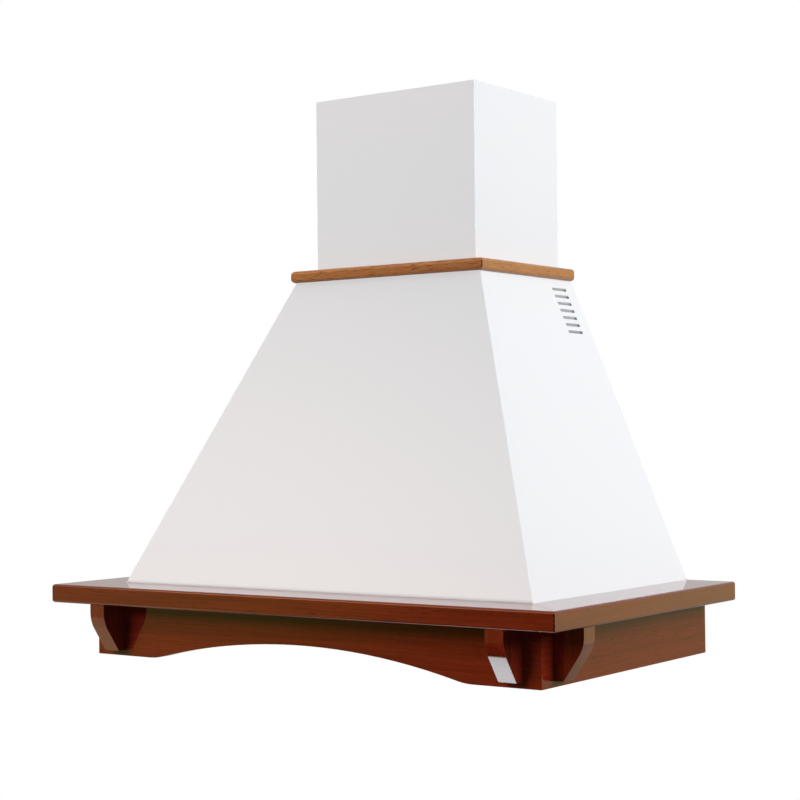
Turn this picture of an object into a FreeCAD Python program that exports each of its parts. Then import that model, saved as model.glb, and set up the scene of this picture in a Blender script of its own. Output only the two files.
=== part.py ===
import FreeCAD
import Part
import os
import re
import Sketcher
from FreeCAD import Placement, Rotation, Vector

# A wall-mounted range hood: a painted steel canopy and chimney on a wooden mantel.
# The origin is on the wall, at the middle of the hood and level with the apron's lower edge.
# X runs to the cook's right, -Y points into the kitchen and Z is up. Sizes are in millimetres.

values = {
    # shelf: four rails round the foot of the canopy
    "shelf_width": 900,
    "shelf_depth": 530,
    "shelf_thickness": 28,
    "shelf_nose": 4,
    "shelf_ledge": 80,
    "shelf_overhang": 50,
    "rail_width": 110,
    "back_rail_width": 60,
    # apron: boards below the shelf, with an arch in the front one
    "apron_height": 81,
    "apron_board": 20,
    "arch_chord": 560,
    "arch_rise": 35,
    "arch_end_radius": 100,
    # corbels: upright front, long bend and straight slant to a narrow foot
    "corbel_width": 28.5,
    "corbel_depth": 47,
    "corbel_foot": 15,
    "corbel_bottom": 8.5,
    "corbel_bend": 45,
    "corbel_bend_height": 69,
    "front_corbel_inset": 43,
    "side_corbel_inset": 44,
    # glue blocks in the apron's corners
    "block_side": 30,
    "block_bottom": 25,
    # canopy
    "canopy_height": 467,
    "neck_ledge_side": 23.5,
    "neck_ledge_front": 25,
    "canopy_flange": 25,
    "canopy_corner": 1.5,
    "sheet_metal": 1,
    "slot_length": 42,
    "slot_height": 4.6,
    "slot_pitch": 11.3,
    "slot_count": 7,
    "slot_wall_gap": 28,
    "slot_first_drop": 17,
    "rear_panel_sheet": 1.2,
    "rear_panel_gap": 3,
    "wall_hole_radius": 4.25,
    "wall_hole_width": 300,
    "wall_hole_rise": 350,
    "wall_hole_low": 60,
    # neck moulding round the foot of the chimney
    "moulding_width": 29.5,
    "moulding_height": 18.5,
    "moulding_nose": 5.5,
    "moulding_fit": 0.3,
    # chimney
    "chimney_width": 300,
    "chimney_depth": 240,
    "chimney_height": 288,
    "chimney_return": 18,
    "chimney_seat": 5,
    "extension_length": 250,
    "extension_gap": 0.5,
    "bracket_sheet": 1.5,
    "bracket_height": 22,
    "bracket_lift": 6,
    "bracket_ear": 35,
    "bracket_fit": 0.1,
    "bracket_hole_radius": 3,
    "bracket_hole_spacing": 120,
    "rest_gap": 0.3,
    # underside panel
    "base_sheet": 1.2,
    "base_fit": 2,
    # grease filters
    "filter_width": 254,
    "filter_thickness": 9,
    "filter_rim": 12,
    "filter_recess": 3.2,
    "filter_spacing": 290,
    "filter_hinge_reach": 68,
    "filter_heel": 2,
    "filter_gap": 2,
    "filter_rear_gap": 4,
    "peg_radius": 2,
    "peg_play": 0.1,
    "peg_length": 8,
    "hook_side_gap": 3,
    "hook_thickness": 3,
    "hook_side": 10,
    "hook_height": 9.5,
    # filter latches
    "latch_width": 40,
    "latch_length": 34,
    "latch_plate": 2,
    "latch_reach": 8,
    "latch_travel": 7.5,
    "latch_play": 0.5,
    "latch_cover": 2,
    "latch_seat_wall": 5,
    "grip_width": 35,
    "grip_thickness": 8,
    "grip_setback": 12,
    "grip_drop": 8,
    "grip_round": 2,
    # front strip of the underside: lamps and controls
    "strip_setback": 62,
    "strip_rear": 40,
    "lamp_spacing": 480,
    "lamp_ring_radius": 31,
    "lamp_ring_lip": 2.2,
    "lamp_sleeve_radius": 27,
    "lamp_sleeve_height": 18,
    "lamp_bore": 21.5,
    "lamp_lens_radius": 24,
    "lamp_lens_thickness": 3,
    "lamp_body_height": 26,
    "lamp_fit": 0.3,
    "fascia_width": 164,
    "fascia_depth": 32,
    "fascia_thickness": 2.5,
    "fascia_round": 6,
    "switch_box_width": 148,
    "switch_box_depth": 22,
    "switch_box_height": 26,
    "switch_box_fit": 1,
    "button_count": 5,
    "button_spacing": 28,
    "button_radius": 6.8,
    "button_play": 0.3,
    "button_show": 3,
    "button_travel": 3,
    "button_collar": 1.2,
    "button_collar_height": 2.5,
    "button_stem": 3,
    "button_stem_height": 8,
    # blower
    "blower_reach": 184,
    "blower_height": 235,
    "scroll_start": 88,
    "scroll_step": 14,
    "housing_half_width": 85,
    "housing_wall": 2.5,
    "outlet_depth": 118,
    "outlet_top": 350,
    "tongue_radius": 10,
    "inlet_radius": 60,
    "inlet_throat": 2,
    "inlet_throat_length": 20,
    "inlet_flange": 84,
    "inlet_sheet": 1.5,
    "inlet_fit": 0.3,
    "inlet_screw_circle": 78,
    "impeller_radius": 75,
    "impeller_rim": 13,
    "impeller_rim_width": 3,
    "impeller_half_length": 60,
    "impeller_disc": 2.5,
    "impeller_disc_place": 15,
    "hub_radius": 12,
    "hub_length": 24,
    "blade_count": 36,
    "blade_sweep": 8,
    "blade_thickness": 1.4,
    "blade_inset": 1,
    "motor_radius": 45,
    "motor_right_end": 2,
    "motor_corner": 4,
    "motor_fit": 0.05,
    "shaft_radius": 4,
    "shaft_length": 98,
    "bracket_plate": 3,
    "bracket_arm_width": 12,
    "bracket_arm_count": 3,
    # hangers that carry the blower on the rear panel
    "hanger_sheet": 2,
    "hanger_low": 180,
    "hanger_high": 346,
    "hanger_reach": 98,
    "hanger_foot": 30,
    "hanger_hole_inset": 20,
    "hanger_web_hole": 78,
    # duct collar and non-return flaps
    "collar_radius": 75,
    "collar_wall": 2,
    "collar_height": 60,
    "collar_plate": 2.5,
    "collar_plate_edge": 3,
    "collar_ledge": 4,
    "collar_ledge_height": 3,
    "duct_centre": 120,
    "damper_lift": 33,
    "damper_pin": 2,
    "damper_pin_inset": 0.5,
    "damper_play": 0.1,
    "flap_sheet": 1.6,
    "flap_gap": 1.5,
    "flap_pin_gap": 0.8,
    "knuckle_radius": 4,
    "knuckle_length": 20,
    "front_knuckle_left": -60,
    "front_knuckle_right": 20,
    "rear_knuckle_left": -30,
    "rear_knuckle_right": 45,
    # electrical pieces on the rear panel
    "terminal_width": 60,
    "terminal_depth": 38,
    "terminal_height": 70,
    "terminal_place": 80,
    "terminal_low": 380,
    "gland_radius": 10,
    "gland_nut_height": 6,
    "gland_height": 18,
    "gland_bore": 4,
    "gland_neck": 8,
    "capacitor_radius": 15,
    "capacitor_height": 62,
    "capacitor_place": 160,
    "capacitor_low": 210,
    # screws
    "screw_radius": 2,
    "screw_play": 0.2,
    "screw_head_radius": 4,
    "screw_head_height": 2.2,
    "wood_screw_bite": 15,
    "sheet_screw_bite": 7,
    "base_screw_inset": 18,
    "base_screw_front": 60,
    "base_screw_rear": 90,
    "base_screw_spacing": 460,
    "base_front_screw_inset": 18,
}

# Sizes that follow from others.
derived = {
    "apron_width": "(shelf_width - 2 * shelf_overhang)",
    "apron_depth": "(shelf_depth - shelf_overhang)",
    "canopy_width": "(shelf_width - 2 * shelf_ledge)",
    "canopy_depth": "(shelf_depth - shelf_ledge)",
    "canopy_top_width": "(chimney_width + 2 * neck_ledge_side)",
    "canopy_top_depth": "(chimney_depth + neck_ledge_front)",
    "strip_reach": "(canopy_depth - strip_setback)",
    "filter_length": "(strip_reach - strip_rear - filter_hinge_reach + filter_heel)",
}

doc = FreeCAD.newDocument("range_hood")
sheet = doc.addObject("Spreadsheet::Sheet", "sizes")
for row, (alias, value) in enumerate(values.items(), start=1):
    sheet.set(f"A{row}", alias)
    sheet.set(f"B{row}", str(value))
    sheet.setAlias(f"B{row}", alias)
doc.recompute()

subparts = []

# Heights and places that many pieces share, as expressions on the sheet.
shelf_top = "(apron_height + shelf_thickness)"
neck = "(apron_height + shelf_thickness + canopy_height)"
base_low = "(apron_height - base_sheet)"
side_slope = "((canopy_width - canopy_top_width) / 2 / canopy_height)"
front_slope = "((canopy_depth - canopy_top_depth) / canopy_height)"
side_wall = f"(sheet_metal * sqrt(1 + {side_slope}^2))"
front_wall = f"(sheet_metal * sqrt(1 + {front_slope}^2))"
panel_front = "(sheet_metal + rear_panel_sheet)"
axis_y = "(-blower_reach)"
axis_z = "blower_height"

turn_to_x = Rotation(Vector(0, 1, 0), 90)
turn_to_y = Rotation(Vector(1, 0, 0), -90)
turns = {"x": turn_to_x, "y": turn_to_y, "z": Rotation()}


def linked(text):
    """The text with derived sizes worked out and the sheet's name before each alias."""
    return re.sub(r"[a-z]\w*", lambda word: named_cell(word.group()), text)


def named_cell(word):
    if word in derived:
        return linked(derived[word])
    return f"sizes.{word}" if word in values else word


def amount(text):
    """The number that an expression gives now."""
    result = sheet.evalExpression(linked(text))
    return float(getattr(result, "Value", result))


def bind(thing, prop, text):
    thing.setExpression(prop, linked(text))


def move(thing, x="0", y="0", z="0", turn=None):
    if turn is not None:
        thing.Placement = Placement(Vector(), turn)
    for axis, text in zip("xyz", (x, y, z)):
        bind(thing, f"Placement.Base.{axis}", text)
    return thing


def keep(thing, label):
    """Names a finished sub-part."""
    thing.Label = label
    subparts.append(thing)
    return thing


def box(name, x, y, z):
    """A block between two bounds on each axis."""
    thing = doc.addObject("Part::Box", name)
    for side, (low, high) in zip(("Length", "Width", "Height"), (x, y, z)):
        bind(thing, side, f"({high}) - ({low})")
    return move(thing, x[0], y[0], z[0])


def rod(name, axis, radius, span, centre):
    """A cylinder along an axis, between two bounds, round a centre on the other two axes."""
    thing = doc.addObject("Part::Cylinder", name)
    bind(thing, "Radius", radius)
    bind(thing, "Height", f"({span[1]}) - ({span[0]})")
    place = dict(zip([letter for letter in "xyz" if letter != axis], centre))
    place[axis] = span[0]
    return move(thing, turn=turns[axis], **place)


def fuse(name, *pieces):
    thing = doc.addObject("Part::MultiFuse", name)
    thing.Shapes = list(pieces)
    thing.Refine = True
    return thing


def cut(name, base, *tools):
    thing = doc.addObject("Part::Cut", name)
    thing.Base = base
    thing.Tool = tools[0] if len(tools) == 1 else fuse(f"{name}_tools", *tools)
    thing.Refine = True
    return thing


def common(name, base, tool):
    thing = doc.addObject("Part::Common", name)
    thing.Base = base
    thing.Tool = tool
    return thing


def group(name, solids):
    """Separate like solids that share one node."""
    thing = doc.addObject("Part::Compound", name)
    thing.Links = solids
    return thing


def rounded(name, base, radius, wanted):
    """The base with the wanted edges rounded."""
    doc.recompute()
    edges = base.Shape.Edges
    size = amount(radius)
    thing = doc.addObject("Part::Fillet", name)
    thing.Base = base
    thing.Edges = [(i, size, size) for i, edge in enumerate(edges, start=1) if wanted(edge)]
    return thing


def level(edge):
    """True for an edge whose ends are equally high."""
    return abs(edge.Vertexes[0].Z - edge.Vertexes[-1].Z) < 1e-4


def in_plane(edge, axis, place):
    """True for an edge whose ends both lie at a place along an axis."""
    return all(abs(getattr(point, axis) - place) < 1e-3 for point in edge.Vertexes)


def mitred_board(name, turn, reach, width, span, mitres, z):
    """A board along one side of a frame. Its local -Y side faces out; span is its outer edge."""
    thing = doc.addObject("Part::Wedge", name)
    inner = [f"({span[0]}) + {mitres[0]} * ({width})", f"({span[1]}) - {mitres[1]} * ({width})"]
    bounds = {
        "Xmin": span[0],
        "Xmax": span[1],
        "X2min": inner[0],
        "X2max": inner[1],
        "Ymin": f"-({reach})",
        "Ymax": f"({width}) - ({reach})",
        "Zmin": z[0],
        "Zmax": z[1],
        "Z2min": z[0],
        "Z2max": z[1],
    }
    for prop, text in bounds.items():
        bind(thing, prop, text)
    thing.Placement = Placement(Vector(), Rotation(Vector(0, 0, 1), turn))
    return thing


def mitred_frame(name, width, depth, board, z):
    """Front, left and right boards of a frame that is open at the wall, mitred in front."""
    half = f"({width}) / 2"
    front = mitred_board(f"{name}_front_board", 0, depth, board, [f"-{half}", half], [1, 1], z)
    left = mitred_board(f"{name}_left_board", -90, half, board, ["0", depth], [0, 1], z)
    right = mitred_board(f"{name}_right_board", 90, half, board, [f"-({depth})", "0"], [1, 0], z)
    return front, left, right


def nosed_frame(name, labels, width, depth, board, z, nose):
    """The boards of a frame with their outer edges rounded."""
    boards = mitred_frame(name, width, depth, board, z)
    planes = (("Y", -amount(depth)), ("X", -amount(width) / 2), ("X", amount(width) / 2))
    for plain, label, (axis, place) in zip(boards, labels, planes):
        outer = lambda edge: level(edge) and in_plane(edge, axis, place)
        keep(rounded(f"{label}_nosed", plain, nose, outer), label)


def origin_plane(body, role):
    return next(item for item in body.Origin.OriginFeatures if item.Role == role)


def new_sketch(body, name, offset="0"):
    """A sketch in the body's YZ plane: its x is the body's Y and its y the body's Z."""
    sketch = body.newObject("Sketcher::SketchObject", name)
    sketch.AttachmentSupport = [(origin_plane(body, "YZ_Plane"), "")]
    sketch.MapMode = "FlatFace"
    bind(sketch, "AttachmentOffset.Base.z", offset)
    return sketch


def bound_constraint(sketch, text, *parts):
    index = sketch.addConstraint(Sketcher.Constraint(*parts, amount(text)))
    bind(sketch, f"Constraints[{index}]", text)


def draw_circle(sketch, radius, x="0", y="0"):
    circle = Part.Circle(Vector(amount(x), amount(y), 0), Vector(0, 0, 1), amount(radius))
    index = sketch.addGeometry(circle, False)
    bound_constraint(sketch, radius, "Radius", index)
    bound_constraint(sketch, x, "DistanceX", -1, 1, index, 3)
    bound_constraint(sketch, y, "DistanceY", -1, 1, index, 3)


def draw_outline(sketch, points):
    """A closed outline. Each point is (x, y) or, after an arc, (x, y, radius, centre x, centre y, way)."""
    places = [Vector(amount(point[0]), amount(point[1]), 0) for point in points]
    ends = []
    for i, point in enumerate(points):
        start, stop = places[i - 1], places[i]
        if len(point) == 2:
            index = sketch.addGeometry(Part.LineSegment(start, stop), False)
            ends.append((index, 1, 2))
            continue
        radius, centre_x, centre_y, way = point[2:]
        centre = Vector(amount(centre_x), amount(centre_y), 0)
        circle = Part.Circle(centre, Vector(0, 0, 1), amount(radius))
        first, last = (start, stop) if way == "left" else (stop, start)
        arc = Part.ArcOfCircle(circle, circle.parameter(first), circle.parameter(last))
        index = sketch.addGeometry(arc, False)
        bound_constraint(sketch, radius, "Radius", index)
        ends.append((index, 1, 2) if way == "left" else (index, 2, 1))
    for i, (index, first, last) in enumerate(ends):
        after, after_first, _ = ends[(i + 1) % len(ends)]
        sketch.addConstraint(Sketcher.Constraint("Coincident", index, last, after, after_first))
        bound_constraint(sketch, points[i][0], "DistanceX", -1, 1, index, last)
        bound_constraint(sketch, points[i][1], "DistanceY", -1, 1, index, last)


def pad(body, name, sketch, length, back=False, middle=False):
    feature = body.newObject("PartDesign::Pad", name)
    feature.Profile = sketch
    bind(feature, "Length", length)
    feature.Reversed = back
    feature.Midplane = middle
    return feature


def pocket(body, name, sketch, length, back=False):
    feature = body.newObject("PartDesign::Pocket", name)
    feature.Profile = sketch
    bind(feature, "Length", length)
    feature.Reversed = back
    return feature


def repeat_round(body, name, feature, count):
    """Copies of a feature round the body's X axis."""
    pattern = body.newObject("PartDesign::PolarPattern", name)
    pattern.Originals = [feature]
    pattern.Axis = (origin_plane(body, "X_Axis"), [""])
    pattern.Angle = 360
    bind(pattern, "Occurrences", count)
    body.Tip = pattern
    return pattern


# ---- wooden mantel ----

def make_shelf():
    """Four rails. The front corners are mitred and the back rail lies between the side rails."""
    rise = ["apron_height", shelf_top]
    labels = ("shelf_front_rail", "shelf_left_rail", "shelf_right_rail")
    nosed_frame("shelf", labels, "shelf_width", "shelf_depth", "rail_width", rise, "shelf_nose")
    inside = "(shelf_width / 2 - rail_width)"
    keep(box("back_rail", [f"-{inside}", inside], ["-back_rail_width", "0"], rise), "shelf_back_rail")


def make_apron():
    """Boards below the shelf. A long shallow arch rises in the lower edge of the front board."""
    rise = ["0", "apron_height"]
    front, left, right = mitred_frame("apron", "apron_width", "apron_depth", "apron_board", rise)
    radius = "(((arch_chord / 2)^2 + arch_rise^2) / (2 * arch_rise))"
    span = ["-apron_depth - 1", "apron_board - apron_depth + 1"]
    arch = rod("arch", "y", radius, span, ["0", f"arch_rise - {radius}"])
    arched = cut("arched_front", front, arch)
    half = amount("arch_chord / 2")

    def arch_end(edge):
        crosswise = abs(edge.Vertexes[0].X - edge.Vertexes[-1].X) < 1e-3
        return crosswise and in_plane(edge, "Z", 0) and abs(abs(edge.Vertexes[0].X) - half) < 1e-2

    keep(rounded("eased_front", arched, "arch_end_radius", arch_end), "apron_front")
    keep(left, "apron_left")
    keep(right, "apron_right")
    inside = "(apron_width / 2 - apron_board)"
    keep(box("back_board", [f"-{inside}", inside], ["-apron_board", "0"], rise), "apron_back")


def make_corbel(label, x, y, turn):
    """A bracket under the shelf, drawn with its projection along the body's Y."""
    across = "(corbel_foot - corbel_depth + corbel_bend)"
    down = "(corbel_bend_height - corbel_bottom)"
    bend = f"(atan2({down}; {across}) - acos(corbel_bend / sqrt({across}^2 + {down}^2)))"
    centre = "(corbel_depth - corbel_bend)"
    body = doc.addObject("PartDesign::Body", f"{label}_body")
    sketch = new_sketch(body, f"{label}_outline")
    tangent = [f"{centre} + corbel_bend * cos({bend})", f"corbel_bend_height - corbel_bend * sin({bend})"]
    outline = [
        ("0", "corbel_bottom"),
        ("corbel_foot", "corbel_bottom"),
        tuple(tangent),
        ("corbel_depth", "corbel_bend_height", "corbel_bend", centre, "corbel_bend_height", "left"),
        ("corbel_depth", "apron_height"),
        ("0", "apron_height"),
    ]
    draw_outline(sketch, outline)
    pad(body, f"{label}_pad", sketch, "corbel_width", middle=True)
    keep(move(body, x, y, turn=Rotation(Vector(0, 0, 1), turn)), label)


def make_corbels():
    for side, sign in (("left", "-"), ("right", "")):
        along_front = f"{sign}(apron_width / 2 - front_corbel_inset)"
        make_corbel(f"corbel_front_{side}", along_front, "-apron_depth", 180)
        turn = 90 if side == "left" else -90
        make_corbel(f"corbel_side_{side}", f"{sign}apron_width / 2", "side_corbel_inset - apron_depth", turn)


def make_corner_blocks():
    """Glue blocks in the four inner corners of the apron, up to the underside panel."""
    blocks = []
    outer = "(apron_width / 2 - apron_board)"
    front = "(apron_board - apron_depth)"
    rows = {
        "front": [front, f"({front} + block_side)"],
        "back": ["(-apron_board - block_side)", "-apron_board"],
    }
    columns = {"left": [f"-{outer}", f"block_side - {outer}"], "right": [f"{outer} - block_side", outer]}
    for end, y in rows.items():
        for side, x in columns.items():
            blocks.append(box(f"block_{end}_{side}", x, y, ["block_bottom", base_low]))
    keep(group("blocks", blocks), "corner_blocks")


# ---- canopy and chimney ----

def tapered(name, side, front, back, low, high, reach=None):
    """A block that tapers like the canopy between two heights above the shelf."""
    thing = doc.addObject("Part::Wedge", name)
    for place, stem in ((low, ""), (high, "2")):
        half = f"(canopy_width / 2 - {side_slope} * ({place}) - ({side}))"
        depth = reach or f"(canopy_depth - {front_slope} * ({place}) - ({front}))"
        bind(thing, f"X{stem}min", f"-{half}")
        bind(thing, f"X{stem}max", half)
        bind(thing, f"Z{stem}min", back)
        bind(thing, f"Z{stem}max", depth)
    bind(thing, "Ymin", low)
    bind(thing, "Ymax", high)
    return move(thing, z=shelf_top, turn=Rotation(Vector(1, 0, 0), 90))


def make_canopy():
    """A folded and welded shell with flanges turned in at its foot, neck and back."""
    outer = tapered("canopy_block", "0", "0", "0", "0", "canopy_height")

    def front_corner(edge):
        return not level(edge) and all(point.Y < -1 for point in edge.Vertexes)

    soft = rounded("canopy_soft_block", outer, "canopy_corner", front_corner)
    top = "canopy_height - sheet_metal"
    cavity = tapered("canopy_cavity", side_wall, front_wall, "sheet_metal", "sheet_metal", top)
    back = tapered("canopy_back_hole", "canopy_flange", "0", "-1", "sheet_metal", top, reach="sheet_metal")
    half = "(canopy_width / 2 - canopy_flange)"
    foot_y = ["canopy_flange - canopy_depth", "1"]
    foot_z = [f"{shelf_top} - 1", f"{shelf_top} + sheet_metal"]
    foot = box("canopy_foot_hole", [f"-{half}", half], foot_y, foot_z)
    neck_half = "(chimney_width / 2 - chimney_seat)"
    neck_y = ["chimney_seat - chimney_depth", "1"]
    neck_z = [f"{neck} - sheet_metal", f"{neck} + 1"]
    mouth = box("canopy_neck_hole", [f"-{neck_half}", neck_half], neck_y, neck_z)
    slots = []
    for i in range(int(amount("slot_count"))):
        middle = f"({neck} - slot_first_drop - {i} * slot_pitch)"
        slot_y = ["-slot_wall_gap - slot_length", "-slot_wall_gap"]
        slot_z = [f"{middle} - slot_height / 2", f"{middle} + slot_height / 2"]
        slots.append(box(f"slot_row_{i + 1}", ["-canopy_width / 2", "canopy_width / 2"], slot_y, slot_z))
    keep(cut("canopy", soft, cavity, back, foot, mouth, *slots), "canopy_shell")


def wall_holes():
    """Places of the four wall screws in the rear panel."""
    heights = [f"{shelf_top} + wall_hole_low + {row} * wall_hole_rise" for row in (0, 1)]
    return [(f"{side} * wall_hole_width / 2", height) for side in (-1, 1) for height in heights]


def hanger_foot_holes():
    """Places of the screws that hold the blower's hangers on the rear panel."""
    x = "(housing_half_width + hanger_foot / 2 + hanger_sheet / 2)"
    heights = ("hanger_low + hanger_hole_inset", "hanger_high - hanger_hole_inset")
    return [(f"{side} * {x}", height) for side in (-1, 1) for height in heights]


def make_rear_panel():
    """Galvanised sheet inside the canopy's back flanges. It hangs on the wall and carries the blower."""
    gap = "rear_panel_gap"
    top = "canopy_height - rear_panel_gap"
    plate = tapered("rear_plate", gap, "0", "sheet_metal", gap, top, reach=panel_front)
    span = [f"-{panel_front} - 1", "0"]
    holes = []
    for i, (x, z) in enumerate(wall_holes()):
        holes.append(rod(f"wall_hole_{i + 1}", "y", "wall_hole_radius", span, [x, z]))
    for i, (x, z) in enumerate(hanger_foot_holes()):
        holes.append(rod(f"panel_hole_{i + 1}", "y", "screw_radius + screw_play", span, [x, z]))
    keep(cut("rear_sheet", plate, *holes), "rear_panel")


def make_moulding():
    """Three mitred strips round the foot of the chimney, on the canopy's neck flange."""
    width = "(chimney_width + 2 * moulding_fit + 2 * moulding_width)"
    depth = "(chimney_depth + moulding_fit + moulding_width)"
    labels = ("neck_moulding_front", "neck_moulding_left", "neck_moulding_right")
    rise = [neck, f"{neck} + moulding_height"]
    nosed_frame("moulding", labels, width, depth, "moulding_width", rise, "moulding_nose")


def channel(name, half, front, back, wall, z):
    """A three-sided chimney channel with its back edges turned in."""
    outer = box(f"{name}_block", [f"-({half})", half], [f"-({front})", f"-({back})"], z)

    def front_corner(edge):
        return not level(edge) and in_plane(edge, "Y", -amount(front))

    soft = rounded(f"{name}_soft_block", outer, "canopy_corner", front_corner)
    inside_x = [f"-({half}) + {wall}", f"({half}) - {wall}"]
    through = [f"({z[0]}) - 1", f"({z[1]}) + 1"]
    inside = box(f"{name}_inside", inside_x, [f"{wall} - ({front})", f"-({back}) - {wall}"], through)
    gap_x = [f"-({half}) + chimney_return", f"({half}) - chimney_return"]
    gap = box(f"{name}_back_gap", gap_x, [f"-({back}) - 2 * {wall}", f"-({back}) + 1"], through)
    return cut(name, soft, inside, gap)


def make_chimney():
    """A fixed cover and a shorter extension that slides up inside it to reach the ceiling."""
    cover_z = [neck, f"{neck} + chimney_height"]
    cover = channel("cover_sheet", "chimney_width / 2", "chimney_depth", "0", "sheet_metal", cover_z)
    keep(cover, "chimney_cover")
    step = "(sheet_metal + extension_gap)"
    foot = f"({neck} + bracket_lift + bracket_height + rest_gap)"
    sleeve_z = [foot, f"{foot} + extension_length"]
    half = f"(chimney_width / 2 - {step})"
    sleeve = channel("extension_sheet", half, f"chimney_depth - {step}", step, "sheet_metal", sleeve_z)
    keep(sleeve, "chimney_extension")


def make_chimney_bracket():
    """A wall strap with forward ears that locate the cover and stop the extension."""
    z = [f"{neck} + bracket_lift", f"{neck} + bracket_lift + bracket_height"]
    half = "(chimney_width / 2 - sheet_metal - bracket_fit)"
    strap = box("strap", [f"-{half}", half], ["-sheet_metal - bracket_sheet", "-sheet_metal"], z)
    ear_y = ["-sheet_metal - bracket_ear", "-sheet_metal"]
    ears = [
        box("ear_left", [f"-{half}", f"bracket_sheet - {half}"], ear_y, z),
        box("ear_right", [f"{half} - bracket_sheet", half], ear_y, z),
    ]
    middle = f"{neck} + bracket_lift + bracket_height / 2"
    span = ["-sheet_metal - bracket_sheet - 1", "0"]
    holes = []
    for i, side in enumerate((-1, 1)):
        x = f"{side} * bracket_hole_spacing / 2"
        holes.append(rod(f"strap_hole_{i + 1}", "y", "bracket_hole_radius", span, [x, middle]))
    keep(cut("strap_with_holes", fuse("strap_and_ears", strap, *ears), *holes), "chimney_bracket")


# ---- underside ----

filter_rear = "(filter_heel - filter_hinge_reach)"
filter_front = f"({filter_rear} - filter_length)"
peg_height = f"({base_low} + filter_thickness / 2)"
sides = (("left", -1), ("right", 1))


def base_screw_places():
    """Wood screws up into the rails: three along each side and two along the front."""
    side_x = "(apron_width / 2 - apron_board - base_screw_inset)"
    inside = "(apron_board - apron_depth)"
    front_y = f"({inside} + base_front_screw_inset)"
    row = [f"({inside} + base_screw_front)", "(-base_screw_rear)"]
    places = []
    for side in (-1, 1):
        for y in (row[0], f"(({row[0]} + {row[1]}) / 2)", row[1]):
            places.append((f"{side} * {side_x}", y))
        places.append((f"{side} * base_screw_spacing / 2", front_y))
    return places


def make_base_panel():
    """Steel underside with openings for the filters, the lamps and the switch box."""
    half = "(apron_width / 2 - apron_board - base_fit)"
    y = ["apron_board + base_fit - apron_depth", "-apron_board - base_fit"]
    plate = box("base_plate", [f"-{half}", half], y, [base_low, "apron_height"])
    through = [f"{base_low} - 1", "apron_height + 1"]
    holes = []
    for side, sign in sides:
        centre = f"({sign} * filter_spacing / 2)"
        open_x = [f"{centre} - filter_width / 2 - filter_gap", f"{centre} + filter_width / 2 + filter_gap"]
        open_y = [f"{filter_front} - filter_gap", f"{filter_rear} + filter_rear_gap"]
        holes.append(box(f"filter_opening_{side}", open_x, open_y, through))
        lamp = [f"{sign} * lamp_spacing / 2", "-strip_reach"]
        holes.append(rod(f"lamp_hole_{side}", "z", "lamp_sleeve_radius + lamp_fit", through, lamp))
    switch_half = "(switch_box_width / 2 + switch_box_fit)"
    switch_y = [f"{way} * (switch_box_depth / 2 + switch_box_fit) - strip_reach" for way in (-1, 1)]
    holes.append(box("switch_opening", [f"-{switch_half}", switch_half], switch_y, through))
    for i, place in enumerate(base_screw_places()):
        holes.append(rod(f"base_hole_{i + 1}", "z", "screw_radius + screw_play", through, place))
    keep(cut("base_sheet_metal", plate, *holes), "base_panel")


def make_filter_hooks():
    """Lugs on the underside panel. Their slots are open in front, so the filters lift out."""
    hooks = []
    slot = "(peg_radius + peg_play)"
    for side, sign in sides:
        for end, way in (("outer", sign), ("inner", -sign)):
            near = "(filter_width / 2 + hook_side_gap)"
            edge = f"({sign} * filter_spacing / 2 + {way} * {near})"
            far = f"({edge} + {way} * hook_thickness)"
            x = [edge, far] if way > 0 else [far, edge]
            y = ["-filter_hinge_reach - hook_side / 2", "hook_side / 2 - filter_hinge_reach"]
            lug = box(f"lug_{side}_{end}", x, y, ["apron_height", "apron_height + hook_height"])
            wide = [f"{x[0]} - 1", f"{x[1]} + 1"]
            seat = rod(f"seat_{side}_{end}", "x", slot, wide, ["-filter_hinge_reach", peg_height])
            mouth_y = ["-filter_hinge_reach - hook_side", "-filter_hinge_reach"]
            mouth_z = [f"{peg_height} - {slot}", f"{peg_height} + {slot}"]
            mouth = box(f"mouth_{side}_{end}", wide, mouth_y, mouth_z)
            hooks.append(cut(f"hook_{side}_{end}", lug, seat, mouth))
    keep(group("hooks", hooks), "filter_hooks")


latch_low = "(apron_height + rest_gap)"
latch_high = "(apron_height + rest_gap + latch_plate)"
latch_tip = f"({filter_front} - latch_reach)"
grip_front = f"({filter_front} + grip_setback)"


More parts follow.
